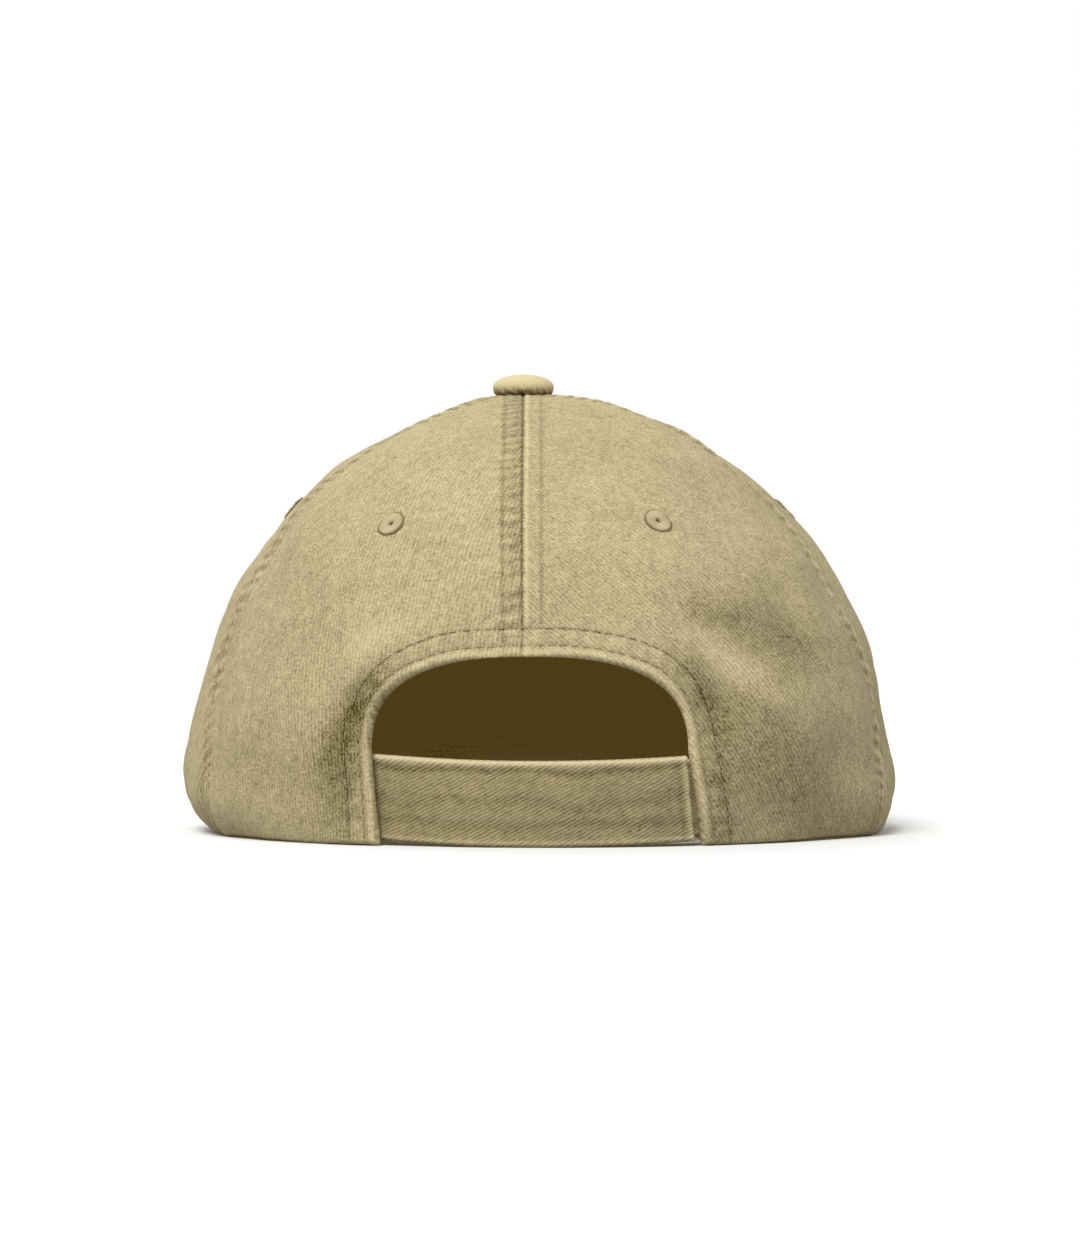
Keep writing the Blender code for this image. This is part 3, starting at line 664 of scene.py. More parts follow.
upright_twill = twill_material("twill_upright", 4.0)
slanting_twill = twill_material("twill_slanting", 35.0)
# painted shade on the inner face of the crown's cloth
inside_painted_shade_twill = twill_material("twill_inside_painted_shade", 4.0, INSIDE_PAINTED_GLOW, **INSIDE_PAINTED_SHADE)


def arch_sides(height):
    """The arch's left and right edge at a height below its spring line."""
    down = 1.0 - height / ARCH_SPRING
    left = ARCH_CENTRE + ARCH_HALF_WIDTH + ARCH_LEFT_FLARE * down
    right = ARCH_CENTRE - ARCH_HALF_WIDTH - ARCH_RIGHT_FLARE * down
    return left, right


def disc_behind(x, z):
    """The point of the disc under the place on the back of the crown that is x across and z high."""
    share = np.clip(z / CROWN_HEIGHT, 0.0, 1.0)
    reach = np.sqrt(1.0 - share**SIDE_FULLNESS)
    plan_x = x.copy()
    for _ in range(6):
        azimuth = np.arcsin(plan_x / (HALF_WIDTH * reach))
        plan_y = HALF_LENGTH * reach * np.cos(azimuth)
        out = band_offset(azimuth, z) + sway_offset(azimuth, share) + crease_offset(plan_x, plan_y, z)
        plan_x = x - out * np.sin(azimuth)
    radius = np.arccos(share ** (SIDE_FULLNESS / 2)) / (math.pi / 2)
    azimuth = np.arcsin(plan_x / (HALF_WIDTH * reach))
    unbowed = azimuth.copy()
    for _ in range(12):
        unbowed = unbowed + azimuth - bowed(unbowed, radius)
    return radius * np.sin(unbowed), radius * np.cos(unbowed)


def arch_edge(side):
    """The arch's edge on one panel, from the back seam down to the rim, as points of the disc."""
    turn = np.linspace(math.pi / 2, 0.0, 300)
    x = ARCH_CENTRE + side * ARCH_HALF_WIDTH * np.cos(turn) ** (2 / ARCH_FULLNESS)
    z = ARCH_SPRING + (ARCH_TOP - ARCH_SPRING) * np.sin(turn) ** (2 / ARCH_FULLNESS)
    down = np.linspace(ARCH_SPRING, 0.0, 80)[1:]
    x = np.append(x, arch_sides(down)[0 if side > 0 else 1])
    z = np.append(z, down)
    if side > 0:
        start = np.interp(CROWN_LEAN, x, z)
        keep = x > CROWN_LEAN + 1e-4
        x, z = np.append(CROWN_LEAN, x[keep]), np.append(start, z[keep])
    else:
        beside = 1.0 - ((CROWN_LEAN - ARCH_CENTRE) / ARCH_HALF_WIDTH) ** ARCH_FULLNESS
        seam_z = ARCH_SPRING + (ARCH_TOP - ARCH_SPRING) * beside ** (1 / ARCH_FULLNESS)
        between = np.linspace(CROWN_LEAN, ARCH_CENTRE, 12)[:-1]
        x, z = np.append(between, x), np.append(np.linspace(seam_z, ARCH_TOP, 11), z)
    return disc_behind(x, z)


def resample(across, ahead, shares):
    """Points of the disc at shares of the cloth's run along a line."""
    run = run_along(crown_at(across, ahead))
    run /= run[-1]
    return np.stack((np.interp(shares, run, across), np.interp(shares, run, ahead)), axis=-1)


def nearest(points, line):
    """Distance from each point to a line of points, and the number of the nearest one."""
    flat = points.reshape(-1, 3)
    best, where = np.empty(len(flat)), np.empty(len(flat), int)
    for start in range(0, len(flat), 4000):
        gap = np.linalg.norm(flat[start : start + 4000, None] - line[None], axis=-1)
        where[start : start + 4000] = gap.argmin(axis=1)
        best[start : start + 4000] = gap.min(axis=1)
    return best.reshape(points.shape[:-1]), where.reshape(points.shape[:-1])


def cloth_place(across, ahead, bearing):
    """Where points lie on the cloth: sideways from a panel's middle line, and down it, in metres."""
    x, y = from_disc(across, ahead)
    right = x - CROWN_LEAN
    swing = (np.arctan2(right, y) - bearing + math.pi) % (2 * math.pi) - math.pi
    far, run = seam_run(bearing)
    middle_line = np.hypot(*to_disc(*seam_plan(bearing, far)))
    down = np.interp(np.hypot(across, ahead), middle_line, run)
    return np.stack((np.hypot(right, y) * swing, -down), axis=-1)


ARCH_LINES = {side: crown_at(*arch_edge(side)) for side in (1, -1)}


def arch_relief(points):
    """Height and tone of the cloth round the arch, and each point's distance from its edge.

    The hem is a flat double band with a roll along its edge and two rows of stitches pulled
    in, and it ends in a small step outside the second row.
    """
    line = np.concatenate((ARCH_LINES[1][::-1], ARCH_LINES[-1]))
    distance, where = nearest(points, line)
    run = run_along(line)[where]
    roll = hill(distance, 0.0012, 0.0009)
    inner_row = hill(distance, ARCH_ROWS[0], 0.00045)
    outer_row = hill(distance, ARCH_ROWS[1], 0.00050)
    band = 1.0 - ease(distance, ARCH_ROWS[1] + 0.0001, ARCH_ROWS[1] + 0.0013)
    between = ease(distance, ARCH_ROWS[0], ARCH_ROWS[0] + 0.001) * band
    pulls = np.sin(2 * math.pi * run / 0.0047 + 1.3 * np.sin(2 * math.pi * run / 0.021)) * between
    height = 0.00016 * roll - 0.00020 * inner_row - 0.00024 * outer_row + 0.00026 * band + 0.00007 * pulls
    # wear and painted light on the edge roll, painted shade in the two stitch grooves, and painted light
    # and shade on the pulls
    tone = 0.26 * roll - 0.20 * inner_row - 0.26 * outer_row + 0.07 * pulls
    return height, tone, distance


EYELET_PLACES = {         # bearing from the back, in degrees, and height
    "back_left": (25.0, 0.0784),
    "back_right": (-24.9, 0.0786),
    "side_left": (103.0, 0.0830),
    "side_right": (-88.9, 0.0832),
    "front_left": (151.7, 0.0815),
    "front_right": (-151.9, 0.0815),
}
EYELET_HOLE = 0.0019


def eyelet_frame(place):
    """An eyelet's middle on the crown's outer face, and the cloth's outward normal there."""
    degrees, height = EYELET_PLACES[place]
    bearing = math.radians(degrees)
    far, _ = seam_run(bearing)
    heights = crown_at(*to_disc(*seam_plan(bearing, far)))[:, 2]
    middle = np.interp(height, heights[::-1], far[::-1])
    across, ahead = to_disc(*seam_plan(bearing, middle))
    point, normal = crown_frame(np.array([across]), np.array([ahead]))
    return (point + normal * rumple(point)[:, None])[0], normal[0]


def add_panel(name, disc, face, normal, relief, rim_distance, edge, bearing, finish):
    """The rim's hem makes the wall thicker, and its folded edge is paler from wear.
    """
    lift, tone = relief
    hem = 1.0 - ease(rim_distance, 0.006, 0.010)
    thick = WALL + (RIM_WALL - WALL) * hem
    lift = lift * np.minimum(1.0, edge * 1.5)
    tone = tone + 0.16 * hill(rim_distance, 0.0, 0.0012)
    weave = cloth_place(*disc, bearing)
    hole = (eyelet_frame(name)[0], EYELET_HOLE)
    finishes = (finish, inside_painted_shade_twill)
    mesh = cloth_wall("cloth_" + name, face, normal, thick, edge, lift, weave, tone, finishes, (hole,))
    panel = add_piece("cloth_panel_" + name, mesh, ("panel_" + name,))


def build_back_panel(name, side, finish):
    """One back panel, a patch between the back seam, the arch, the rim and the side seam.

    Rows run from the back seam to the rim and columns from the side seam to the arch. Inside
    its four borders the patch is blended from them, and rows and columns crowd together
    beside the seams and the hem.
    """
    side_seam = SEAMS["back_left" if side > 0 else "back_right"]
    down = spaced(((0.08, 24), (0.85, 92), (1.0, 34)))
    out = spaced(((0.06, 20), (0.12, 14), (0.93, 112), (1.0, 14)))
    top = np.array(to_disc(CROWN_LEAN, 0.0))
    arch = resample(*arch_edge(side), out)
    even = np.linspace(0.0, 1.0, 400)
    back_y = even * float(from_disc(*arch[0])[1])
    back = resample(*to_disc(np.full_like(back_y, CROWN_LEAN), back_y), down)
    to_rim = float(ray_to_ellipse(np.array([side_seam]), 1.0)[0])
    far = to_rim * (1.0 - (1.0 - even) ** 2)
    flank = resample(*to_disc(*seam_plan(side_seam, far)), out)
    flank[0] = top
    rim_from, rim_to = side * BACK_SEAM, math.atan2(*arch[-1])
    rim_turn = rim_from + (rim_to - rim_from) * even
    rim = resample(np.sin(rim_turn), np.cos(rim_turn), down)
    s, t = down[None, :, None], out[:, None, None]
    patch = (1 - t) * back[None] + t * rim[None] + (1 - s) * flank[:, None] + s * arch[:, None]
    corners = (1 - s) * (1 - t) * top + s * (1 - t) * arch[0] + (1 - s) * t * rim[0] + s * t * arch[-1]
    disc = patch - corners
    across, ahead = disc[..., 0], disc[..., 1]
    face, normal = crown_frame(across, ahead)
    x, y = from_disc(across, ahead)
    back_distance, back_run = seam_distance(x, y, SEAMS["back"])
    side_distance, side_run = seam_distance(x, y, side_seam)
    hem_lift, hem_tone, hem_distance = arch_relief(face)
    at_hem = 1.0 - ease(hem_distance, 0.0070, 0.0095)
    back_pucker = 0.9 if side > 0 else 0.25
    back_lift, back_tone = seam_relief(back_distance, back_run, side < 0, back_pucker, 1.0)
    if side > 0:
        back_tone = back_tone - 0.12 * (1.0 - ease(back_distance, SEAM_ROW, SEAM_ROW + 0.0012))
    side_lift, side_tone = seam_relief(side_distance, side_run, side < 0, 1.5, 2.0 + side)
    lift = rumple(face) + side_lift + hem_lift + (1.0 - 0.6 * at_hem) * back_lift
    tone = side_tone + hem_tone + (1.0 - 0.5 * at_hem) * back_tone
    size = np.hypot(across, ahead)
    rim_distance = np.linalg.norm(face - crown_at(across / size, ahead / size), axis=-1)
    rim_distance[-1] = 0.0
    hem_distance[:, -1] = 0.0
    edge = rounded(rim_distance, HEM_FOLD) * rounded(hem_distance, ARCH_FOLD)
    lift = lift * ease(np.minimum(rim_distance, hem_distance), -0.0004, 0.0012)
    # painted shade in the back panels' hollows and painted light on their folds
    tone = tone + long_hills(BACK_PAINTED_SHADE_AND_LIGHT, face[..., 0], face[..., 2])
    bearing = side * abs(SEAMS["back"] + SEAMS["back_left"]) / 2
    relief = (lift, tone)
    add_panel(name, (across, ahead), face, normal, relief, rim_distance, edge, bearing, finish)


build_back_panel("back_left", 1, upright_twill)
build_back_panel("back_right", -1, slanting_twill)

# ---------------------------------------------------------------- side and front panels
# The other four panels are plain fans of the same twill, from the button down to the rim.
# In front the rim rises to pass over the peak.


def build_fan_panel(name, near, far, pressed, finish, flat, area):
    """A panel between two seams: rows spread from the top to the rim and crowd in its turned edge."""
    first, last = SEAMS[near], SEAMS[far]
    if last < first - math.pi:
        last += 2 * math.pi
    if last > first + math.pi:
        last -= 2 * math.pi
    columns = spaced(((0.055, 16), (0.11, 9), (0.89, 64), (0.945, 9), (1.0, 16)))
    bearings = first + (last - first) * columns
    middle = (first + last) / 2
    mid_far, mid_run = seam_run(middle)
    rows = spaced(((0.90, 150), (0.985, 28), (1.0, 9)))
    reach_far = np.interp(rows * mid_run[-1], mid_run, mid_far)
    turn_x, turn_y = seam_plan(middle, reach_far)
    reach = np.minimum(np.hypot(turn_x / HALF_WIDTH, turn_y / HALF_LENGTH), 1.0)
    across = np.empty((len(rows), len(columns)))
    ahead = np.empty_like(across)
    ring = 0.14
    near_ring = np.interp(ring, reach, reach_far)
    for row, (share, distance) in enumerate(zip(reach, reach_far)):
        if share < ring:
            far_out = ray_to_ellipse(bearings, ring) * distance / near_ring
        else:
            far_out = ray_to_ellipse(bearings, share)
        plan_x, plan_y = CROWN_LEAN + far_out * np.sin(bearings), far_out * np.cos(bearings)
        across[row], ahead[row] = to_disc(plan_x, plan_y)
    size = np.hypot(across[-1], ahead[-1])
    across[-1], ahead[-1] = across[-1] / size, ahead[-1] / size
    face, normal = crown_frame(across, ahead)
    face[0], normal[0] = face[0, 0], normal[0, 0]
    x, y = from_disc(across, ahead)
    lift, tone = rumple(face), np.zeros_like(across)
    for seam, seed in ((near, 2.0), (far, 3.0)):
        distance, run = seam_distance(x, y, SEAMS[seam])
        more_lift, more_tone = seam_relief(distance, run, pressed == seam, 1.0, seed + SEAMS[seam])
        lift, tone = lift + more_lift, tone + more_tone
    run = np.stack([run_along(line) for line in face.swapaxes(0, 1)], axis=1)
    rim_distance = run[-1] - run
    edge = rounded(rim_distance, HEM_FOLD)
    relief = (lift * ease(rim_distance, -0.0004, 0.0016), tone)
    add_panel(name, (across, ahead), face, normal, relief, rim_distance, edge, middle, finish)


FAN_PANELS = (            # name, its two seams, the one pressed onto it, cloth, flat size, flat area
    ("side_left", "back_left", "front_left", "", slanting_twill, (0.097, 0.162), 0.0089),
    ("side_right", "back_right", "front_right", "back_right", upright_twill, (0.097, 0.169), 0.0093),
    ("front_left", "front_left", "front", "", upright_twill, (0.091, 0.152), 0.0085),
    ("front_right", "front_right", "front", "front", slanting_twill, (0.100, 0.156), 0.0095),
)
for fan_panel in FAN_PANELS:
    build_fan_panel(*fan_panel)

# ---------------------------------------------------------------- rows of stitches
# Cotton thread a little darker than the cloth. A row runs down each side of every seam, and
# two rows follow the arch. Each stitch arches over the cloth and dives into it at both ends.
THREAD = 0.00034
STITCH_PITCH = 0.0029
STITCH_LENGTH = 0.0023
STITCH_SIDES = 6
THREAD_DARK = (0.230, 0.185, 0.080, 1.0)
THREAD_LIGHT = (0.720, 0.620, 0.390, 1.0)


def thread_material():
    """Twisted cotton thread: slanting plies along each stitch, in slightly different shades."""
    material, nodes, links, shader, bump = new_material("sewing_thread", 0.00008)
    set_inputs(shader, {"Roughness": 0.75, "Specular IOR Level": 0.25})
    cloth = nodes.new("ShaderNodeUVMap")
    cloth.uv_map = "cloth"
    plies = nodes.new("ShaderNodeTexWave")
    plies.inputs["Scale"].default_value = 700.0
    plies.bands_direction = "DIAGONAL"
    painted_light_and_wear = nodes.new("ShaderNodeAttribute")
    painted_light_and_wear.attribute_name = "tone"
    both = nodes.new("ShaderNodeMath")
    both.operation = "MULTIPLY_ADD"
    both.inputs[1].default_value = 0.5
    ramp = nodes.new("ShaderNodeMix")
    ramp.data_type = "RGBA"
    ramp.inputs[6].default_value = THREAD_DARK
    ramp.inputs[7].default_value = THREAD_LIGHT
    links.new(cloth.outputs["UV"], plies.inputs["Vector"])
    links.new(plies.outputs["Fac"], both.inputs[0])
    links.new(painted_light_and_wear.outputs["Fac"], both.inputs[2])
    links.new(both.outputs[0], ramp.inputs[0])
    links.new(ramp.outputs[2], shader.inputs["Base Color"])
    links.new(plies.outputs["Fac"], bump.inputs["Height"])
    return material


sewing_thread = thread_material()
stitch_random = np.random.default_rng(5)


def stitch_row(points, normals, keep=None):
    """Points, faces, weave and tone of a row of stitches along a line over the cloth."""
    run = run_along(points)
    count = int((run[-1] - STITCH_LENGTH) / STITCH_PITCH)
    starts = (np.arange(count) + 0.5) * STITCH_PITCH
    starts += stitch_random.uniform(-0.08, 0.08, count) * STITCH_PITCH
    if keep is not None:
        starts = starts[np.interp(starts + STITCH_LENGTH / 2, run, keep.astype(float)) > 0.5]
    count = len(starts)
    stations = np.array((0.0, 0.16, 0.5, 0.84, 1.0))
    rise = THREAD * np.array((-0.75, -0.15, 0.05, -0.15, -0.75))
    girth = THREAD / 2 * np.array((0.55, 0.95, 1.0, 0.95, 0.55))
    at = starts[:, None] + STITCH_LENGTH * stations
    centre = np.stack([np.interp(at, run, points[:, axis]) for axis in range(3)], axis=-1)
    up = unit(np.stack([np.interp(at, run, normals[:, axis]) for axis in range(3)], axis=-1))
    forward = unit(centre[:, -1:] - centre[:, :1]) * np.ones_like(centre)
    side = unit(np.cross(forward, up))
    centre = centre + up * rise[:, None]
    turn = np.arange(STITCH_SIDES) * 2 * math.pi / STITCH_SIDES
    ring = side[:, :, None] * np.cos(turn)[:, None] + up[:, :, None] * np.sin(turn)[:, None]
    tube = centre[:, :, None] + ring * girth[:, None, None]
    tip = forward[:, 0] * THREAD / 4
    tips = np.stack((centre[:, 0] - tip, centre[:, -1] + tip), axis=1)
    each = len(stations) * STITCH_SIDES
    made = np.concatenate((tube.reshape(count, each, 3), tips), axis=1)
    index = np.arange(each).reshape(len(stations), STITCH_SIDES)
    onward = np.roll(index, -1, axis=1)
    body = np.stack((index[:-1], index[1:], onward[1:], onward[:-1]), axis=-1).reshape(-1, 4)
    caps = [(each, index[0, k], onward[0, k], onward[0, k]) for k in range(STITCH_SIDES)]
    caps += [(each + 1, onward[-1, k], index[-1, k], index[-1, k]) for k in range(STITCH_SIDES)]
    one = np.concatenate((body, np.array(caps)))
    faces = (one[None] + (np.arange(count) * (each + 2))[:, None, None]).reshape(-1, 4)
    lengthways, around = np.meshgrid(stations * STITCH_LENGTH, turn * THREAD / 2, indexing="ij")
    weave = np.tile(np.stack((lengthways, around), axis=-1).reshape(1, each, 2), (count, 1, 1))
    weave = np.concatenate((weave, weave[:, :2]), axis=1).reshape(-1, 2)
    tone = np.repeat(stitch_random.uniform(-0.10, 0.18, count), each + 2)
    return made.reshape(-1, 3), faces, weave, tone


def add_stitches(name, rows):
    """Join several rows of stitches in one piece."""
    points, faces, weaves, tones = zip(*rows)
    before = np.cumsum([0] + [len(made) for made in points[:-1]])
    quads = np.concatenate([row + start for row, start in zip(faces, before)])
    weave, tone = np.concatenate(weaves), np.concatenate(tones)
    mesh = make_mesh(name, np.concatenate(points), quads, (sewing_thread,), [0] * len(quads), weave, tone)
    add_piece(name, mesh)


def seam_row_path(seam, offset):
    """A line over the cloth beside a seam, with its normals, from under the button to the rim."""
    bearing = SEAMS[seam]
    far, run = seam_run(bearing)
    along = np.interp(np.linspace(0.0075, run[-1] - 0.0020, 500), run, far)
    x, y = seam_plan(bearing, along)
    beside_x, beside_y = x + offset * math.cos(bearing), y - offset * math.sin(bearing)
    seam_disc, beside = np.array(to_disc(x, y)), np.array(to_disc(beside_x, beside_y))
    steep = ease(np.hypot(*seam_disc), 0.5, 0.8)
    size = np.hypot(*beside) * (1.0 - steep) + np.hypot(*seam_disc) * steep
    across, ahead = beside / np.hypot(*beside) * size
    points, normals = crown_frame(across, ahead)
    return points + normals * rumple(points)[:, None], normals


for seam_name in SEAMS:
    seam_rows = []
    for offset in (-SEAM_ROW, SEAM_ROW):
        row_points, row_normals = seam_row_path(seam_name, offset)
        keep_row = None
        if seam_name == "back":
            apart = nearest(row_points, np.concatenate(list(ARCH_LINES.values())))[0]
            keep_row = (apart > ARCH_ROWS[1] + 0.0006) & (row_points[:, 2] > ARCH_TOP)
        seam_rows.append(stitch_row(row_points, row_normals, keep=keep_row))
    add_stitches("stitches_seam_" + seam_name, seam_rows)


def arch_row_path(offset):
    """A line over the cloth at a distance outside the arch's edge, with its normals."""
    edges = {side: np.array(arch_edge(side)) for side in (1, -1)}
    line = np.concatenate((edges[1][:, ::-1], edges[-1][:, 1:]), axis=1)
    even = resample(line[0], line[1], np.linspace(0.0, 1.0, 400)).T
    points, normals = crown_frame(*even)
    forward = unit(np.gradient(points, axis=0))
    for _ in range(20):
        forward[1:-1] = (forward[:-2] + forward[1:-1] + forward[2:]) / 3
    outward = unit(np.cross(forward, normals))
    if outward[200, 2] < 0.0:
        outward = -outward
    moved = points + outward * offset
    across, ahead = disc_behind(moved[:, 0], np.maximum(moved[:, 2], 0.0012))
    points, normals = crown_frame(across, ahead)
    return points + normals * (rumple(points)[:, None] + 0.0002), normals


add_stitches("stitches_arch", [stitch_row(*arch_row_path(offset)) for offset in ARCH_ROWS])

# ---------------------------------------------------------------- eyelets
# Each panel has a small hole bound with thread. The stitches lie side by side like spokes,
# over the edge of the hole and down its bore, and make a flat ring on both faces of the cloth.
EYELET_BORE = 0.0006
EYELET_EDGE = 0.0037
EYELET_INNER_EDGE = 0.0035
EYELET_SPOKES = 38
EYELET_TOP = 0.00048
EYELET_BACK = -WALL - 0.0005 - CLEARANCE


def add_eyelet(place):
    """A closed ring of spokes turned about the cloth's normal."""
    point, normal = eyelet_frame(place)
    normal_turn = Vector(normal).to_track_quat("Z", "Y").to_matrix()
    bore, rim, back, back_rim = EYELET_BORE, EYELET_EDGE, EYELET_BACK, EYELET_INNER_EDGE
    profile = np.array((   # radius and height: up the bore, over the front, and round the back
        (bore, back - 0.0002), (bore * 0.95, -0.0010), (bore, 0.0002),
        (bore + 0.0002, 0.00030), (bore + 0.0006, 0.00042), (0.0021, EYELET_TOP),
        (0.0026, 0.00046), (0.0030, 0.00040), (0.0034, 0.00024), (rim, 0.00002),
        (rim - 0.0001, -0.00025), (0.0030, -0.00030), (0.0018, -0.00030), (0.0018, back),
        (back_rim - 0.0002, back), (back_rim, back - 0.0003),
        (0.0028, back - 0.00065), (0.0016, back - 0.0007), (0.0011, back - 0.0005),
    ))
    around = np.linspace(0.0, 2 * math.pi, EYELET_SPOKES * 6 + 1)
    radius, height = profile[:, :1], profile[:, 1:]
    spoke = np.cos(EYELET_SPOKES * around)[None]
    wander = np.sin(around * 3.0 + 7.0 * normal[0])[None] + 0.6 * np.sin(around * 8.0 + 3.0)[None]
    on_face = ease(radius, 0.0010, 0.0016) * np.sign(height + 0.0004)
    out_there = ease(radius, 0.0030, EYELET_EDGE)
    height = height + 0.00011 * on_face * (spoke + 0.4 * wander)
    radius = radius + 0.00010 * out_there * (spoke + 1.1 * wander)
    ring = np.stack((radius * np.cos(around), radius * np.sin(around), height), axis=-1)
    ring = np.concatenate((ring, ring[:1]))
    points = ring.reshape(-1, 3) @ np.array(normal_turn).T + point
    faces = grid_faces(*ring.shape[:2])
    depth = np.append(profile[:, 0], profile[0, 0])[:, None] * np.ones(around.shape)
    weave = np.stack((depth, 0.004 * around * np.ones(depth.shape)), axis=-1).reshape(-1, 2)
    # the spokes alternate paler and darker; painted shade at the ring's outer edge, where it dips into the
    # cloth, and down the bore
    tone = 0.46 + 0.14 * np.broadcast_to(spoke, depth.shape) - 0.85 * ease(depth, 0.0029, 0.0036)
    tone = tone - 0.40 * (1.0 - ease(depth, EYELET_BORE, 0.0014))
    flat_faces = [0] * len(faces)
    mesh = make_mesh("eyelet_" + place, points, faces, (sewing_thread,), flat_faces, weave, tone.ravel())
    add_piece("thread_eyelet_" + place, mesh, ("eyelet_" + place,))


for eyelet_name in EYELET_PLACES:
    add_eyelet(eyelet_name)

# ---------------------------------------------------------------- closure strap and tab
# The strap is a band of twill folded double, so it has a full roll along its top, a flatter
# one along its bottom and a turned end. It comes from behind the left panel, lies flush with
# the crown across the arch, and laps over a short tab that comes from behind the right panel.
STRAP_HEIGHT = 0.0208
STRAP_THICKNESS = 0.0020
STRAP_TUCK = 0.011
STRAP_SLACK = 0.0005
STRAP_RISE = 0.0012
STRAP_END_GAP = 0.0006
STRAP_END_SLANT = 0.0012
TAB_THICKNESS = 0.0016
TAB_LAP = 0.016
TAB_TUCK = 0.010
TAB_INSET = 0.0010
# painted light: the tab's cloth is made paler against the shade of its recess
TAB_PAINTED_LIGHT = 0.7
# painted shade: the strap's cloth is made darker all over
STRAP_CLOTH = {"Pitch": 0.00080, "Ribs": 0.32, "Clouds": 0.18, "Grain": 0.35, "Shade": -0.30}

strap_twill = twill_material("twill_strap", 118.0, **STRAP_CLOTH)


def band_point(x, z, depth):
    """A band's point, depth below the crown's outer face, at a place across the back and a height."""
    wide, long, high = HALF_WIDTH - depth, HALF_LENGTH - depth, CROWN_HEIGHT - depth
    reach = np.sqrt(1.0 - np.clip(z / high, 0.0, 1.0) ** SIDE_FULLNESS)
    azimuth = np.arcsin(x / (wide * reach))
    out = band_offset(azimuth, z)
    return np.stack((x, (long * reach + out) * np.cos(azimuth) + CROWN_MIDDLE_Y, z), axis=-1)


def add_band(node, starts, ends, inset, thickness, depth_at, painted_light):
    """A band across the back, from starts to ends, each the place at its top and bottom edge."""
    down = spaced(((0.18, 16), (0.82, 30), (1.0, 16)))[:, None]
    over = spaced(((0.03, 10), (0.95, 170), (1.0, 22)))[None]
    start = starts[0] + (starts[1] - starts[0]) * down
    end = ends[0] + (ends[1] - ends[0]) * down
    x = start + (end - start) * over
    tall = STRAP_HEIGHT - 2 * inset
    z = STRAP_HEIGHT - inset - tall * down + STRAP_RISE * (x / ARCH_HALF_WIDTH) ** 2
    face = band_point(x, z, depth_at(x))
    normal = unit(np.cross(np.gradient(face, axis=0), np.gradient(face, axis=1)))
    normal *= np.sign((normal[..., 1] * np.ones_like(x))[..., None])
    from_top, from_foot = down * tall * np.ones_like(x), (1.0 - down) * tall * np.ones_like(x)
    from_end = np.abs(x - end)
    wander = 0.0004 * np.sin(x * 140.0) + 0.0003 * np.sin(x * 310.0 + 1.0)
    top_roll = hill(from_top, 0.0009, 0.0008)
    foot_roll = hill(from_foot, 0.0008, 0.0007)
    end_roll = hill(from_end, 0.0009, 0.0008)
    under_roll = hill(from_top + wander, 0.0029, 0.0009)
    middle_dip = hill(from_top + 2 * wander, 0.0108, 0.0016)
    low_dip = hill(from_top - wander, 0.0160, 0.0013)
    lift = 0.00034 * top_roll - 0.00026 * under_roll + 0.00022 * foot_roll + 0.00024 * end_roll
    lift = lift - 0.00022 * middle_dip - 0.00022 * low_dip - 0.00018 * hill(from_end, 0.0025, 0.0007)
    lift = lift + 0.5 * rumple(face * 1.6)
    # wear and painted highlight on the top, foot and end rolls, painted shadow under the top roll, and
    # painted shade in the two dips and beside the end
    tone = painted_light + 0.85 * top_roll - 0.20 * under_roll + 0.26 * foot_roll + 0.34 * end_roll
    tone = tone - 0.11 * middle_dip - 0.13 * low_dip - 0.12 * hill(from_end, 0.0024, 0.0007)
    free = np.minimum(from_top, from_foot)
    edge = rounded(free, 0.0010) * rounded(from_end, 0.0010)
    edge[[0, -1]] = 0.0
    edge[:, -1] = 0.0
    lift = lift * np.minimum(1.0, edge * 1.3)
    weave = np.stack((x, z), axis=-1)
    finishes = (strap_twill, strap_twill)
    mesh = cloth_wall(node, face, normal, thickness, edge, lift, weave, tone, finishes)
    band = add_piece("cloth_" + node, mesh, (node,))


def build_strap():
    """The strap, flush with the crown over most of the arch and tucked behind the left panel."""
    tucked = RIM_WALL + STRAP_SLACK + CLEARANCE
    left_top, right_top = arch_sides(STRAP_HEIGHT)
    left_foot, right_foot = arch_sides(0.0)
    edge = min(left_top, left_foot)
    hidden = max(left_top, left_foot) + STRAP_TUCK
    ends = right_top + STRAP_END_GAP, right_foot + STRAP_END_GAP + STRAP_END_SLANT

    def depth_at(x):
        return tucked * ease(x, edge - 0.026, edge - 0.002)

    starts, flat = (hidden, hidden), (0.0965, 0.0209)
    add_band("closure_strap", starts, ends, 0.0, STRAP_THICKNESS, depth_at, 0.0)


def build_tab():
    """The tab, mostly hidden behind the strap's free end and the right panel."""
    depth = max(RIM_WALL, STRAP_THICKNESS) + STRAP_SLACK + CLEARANCE
    right_edge = arch_sides(0.0)[1]
    ends = right_edge - TAB_TUCK, right_edge - TAB_TUCK

    def depth_at(x):
        return np.full_like(x, depth)

    starts, flat = (right_edge + TAB_LAP,) * 2, (0.0296, 0.0189)
    add_band("closure_tab", starts, ends, TAB_INSET, TAB_THICKNESS, depth_at, TAB_PAINTED_LIGHT)


build_strap()
build_tab()

# ---------------------------------------------------------------- peak
# A stiff plate covered with twill on both sides, bent down at its sides. Rows of stitches
# follow its free edge, one inside another, and pull the cloth down into shallow channels.
# Its rear edge goes under the front panels and turns up behind them.
PEAK_REACH = 0.069
PEAK_HALF_WIDTH = 0.0865
PEAK_WIDEST = 0.074
PEAK_FULLNESS = 2.35
PEAK_THICKNESS = 0.0032
PEAK_ROWS = tuple(0.0055 + 0.0072 * row for row in range(8))
PEAK_TURN_UP = 0.0026     # how far the rear edge turns up

peak_twill = twill_material("twill_peak", 40.0)
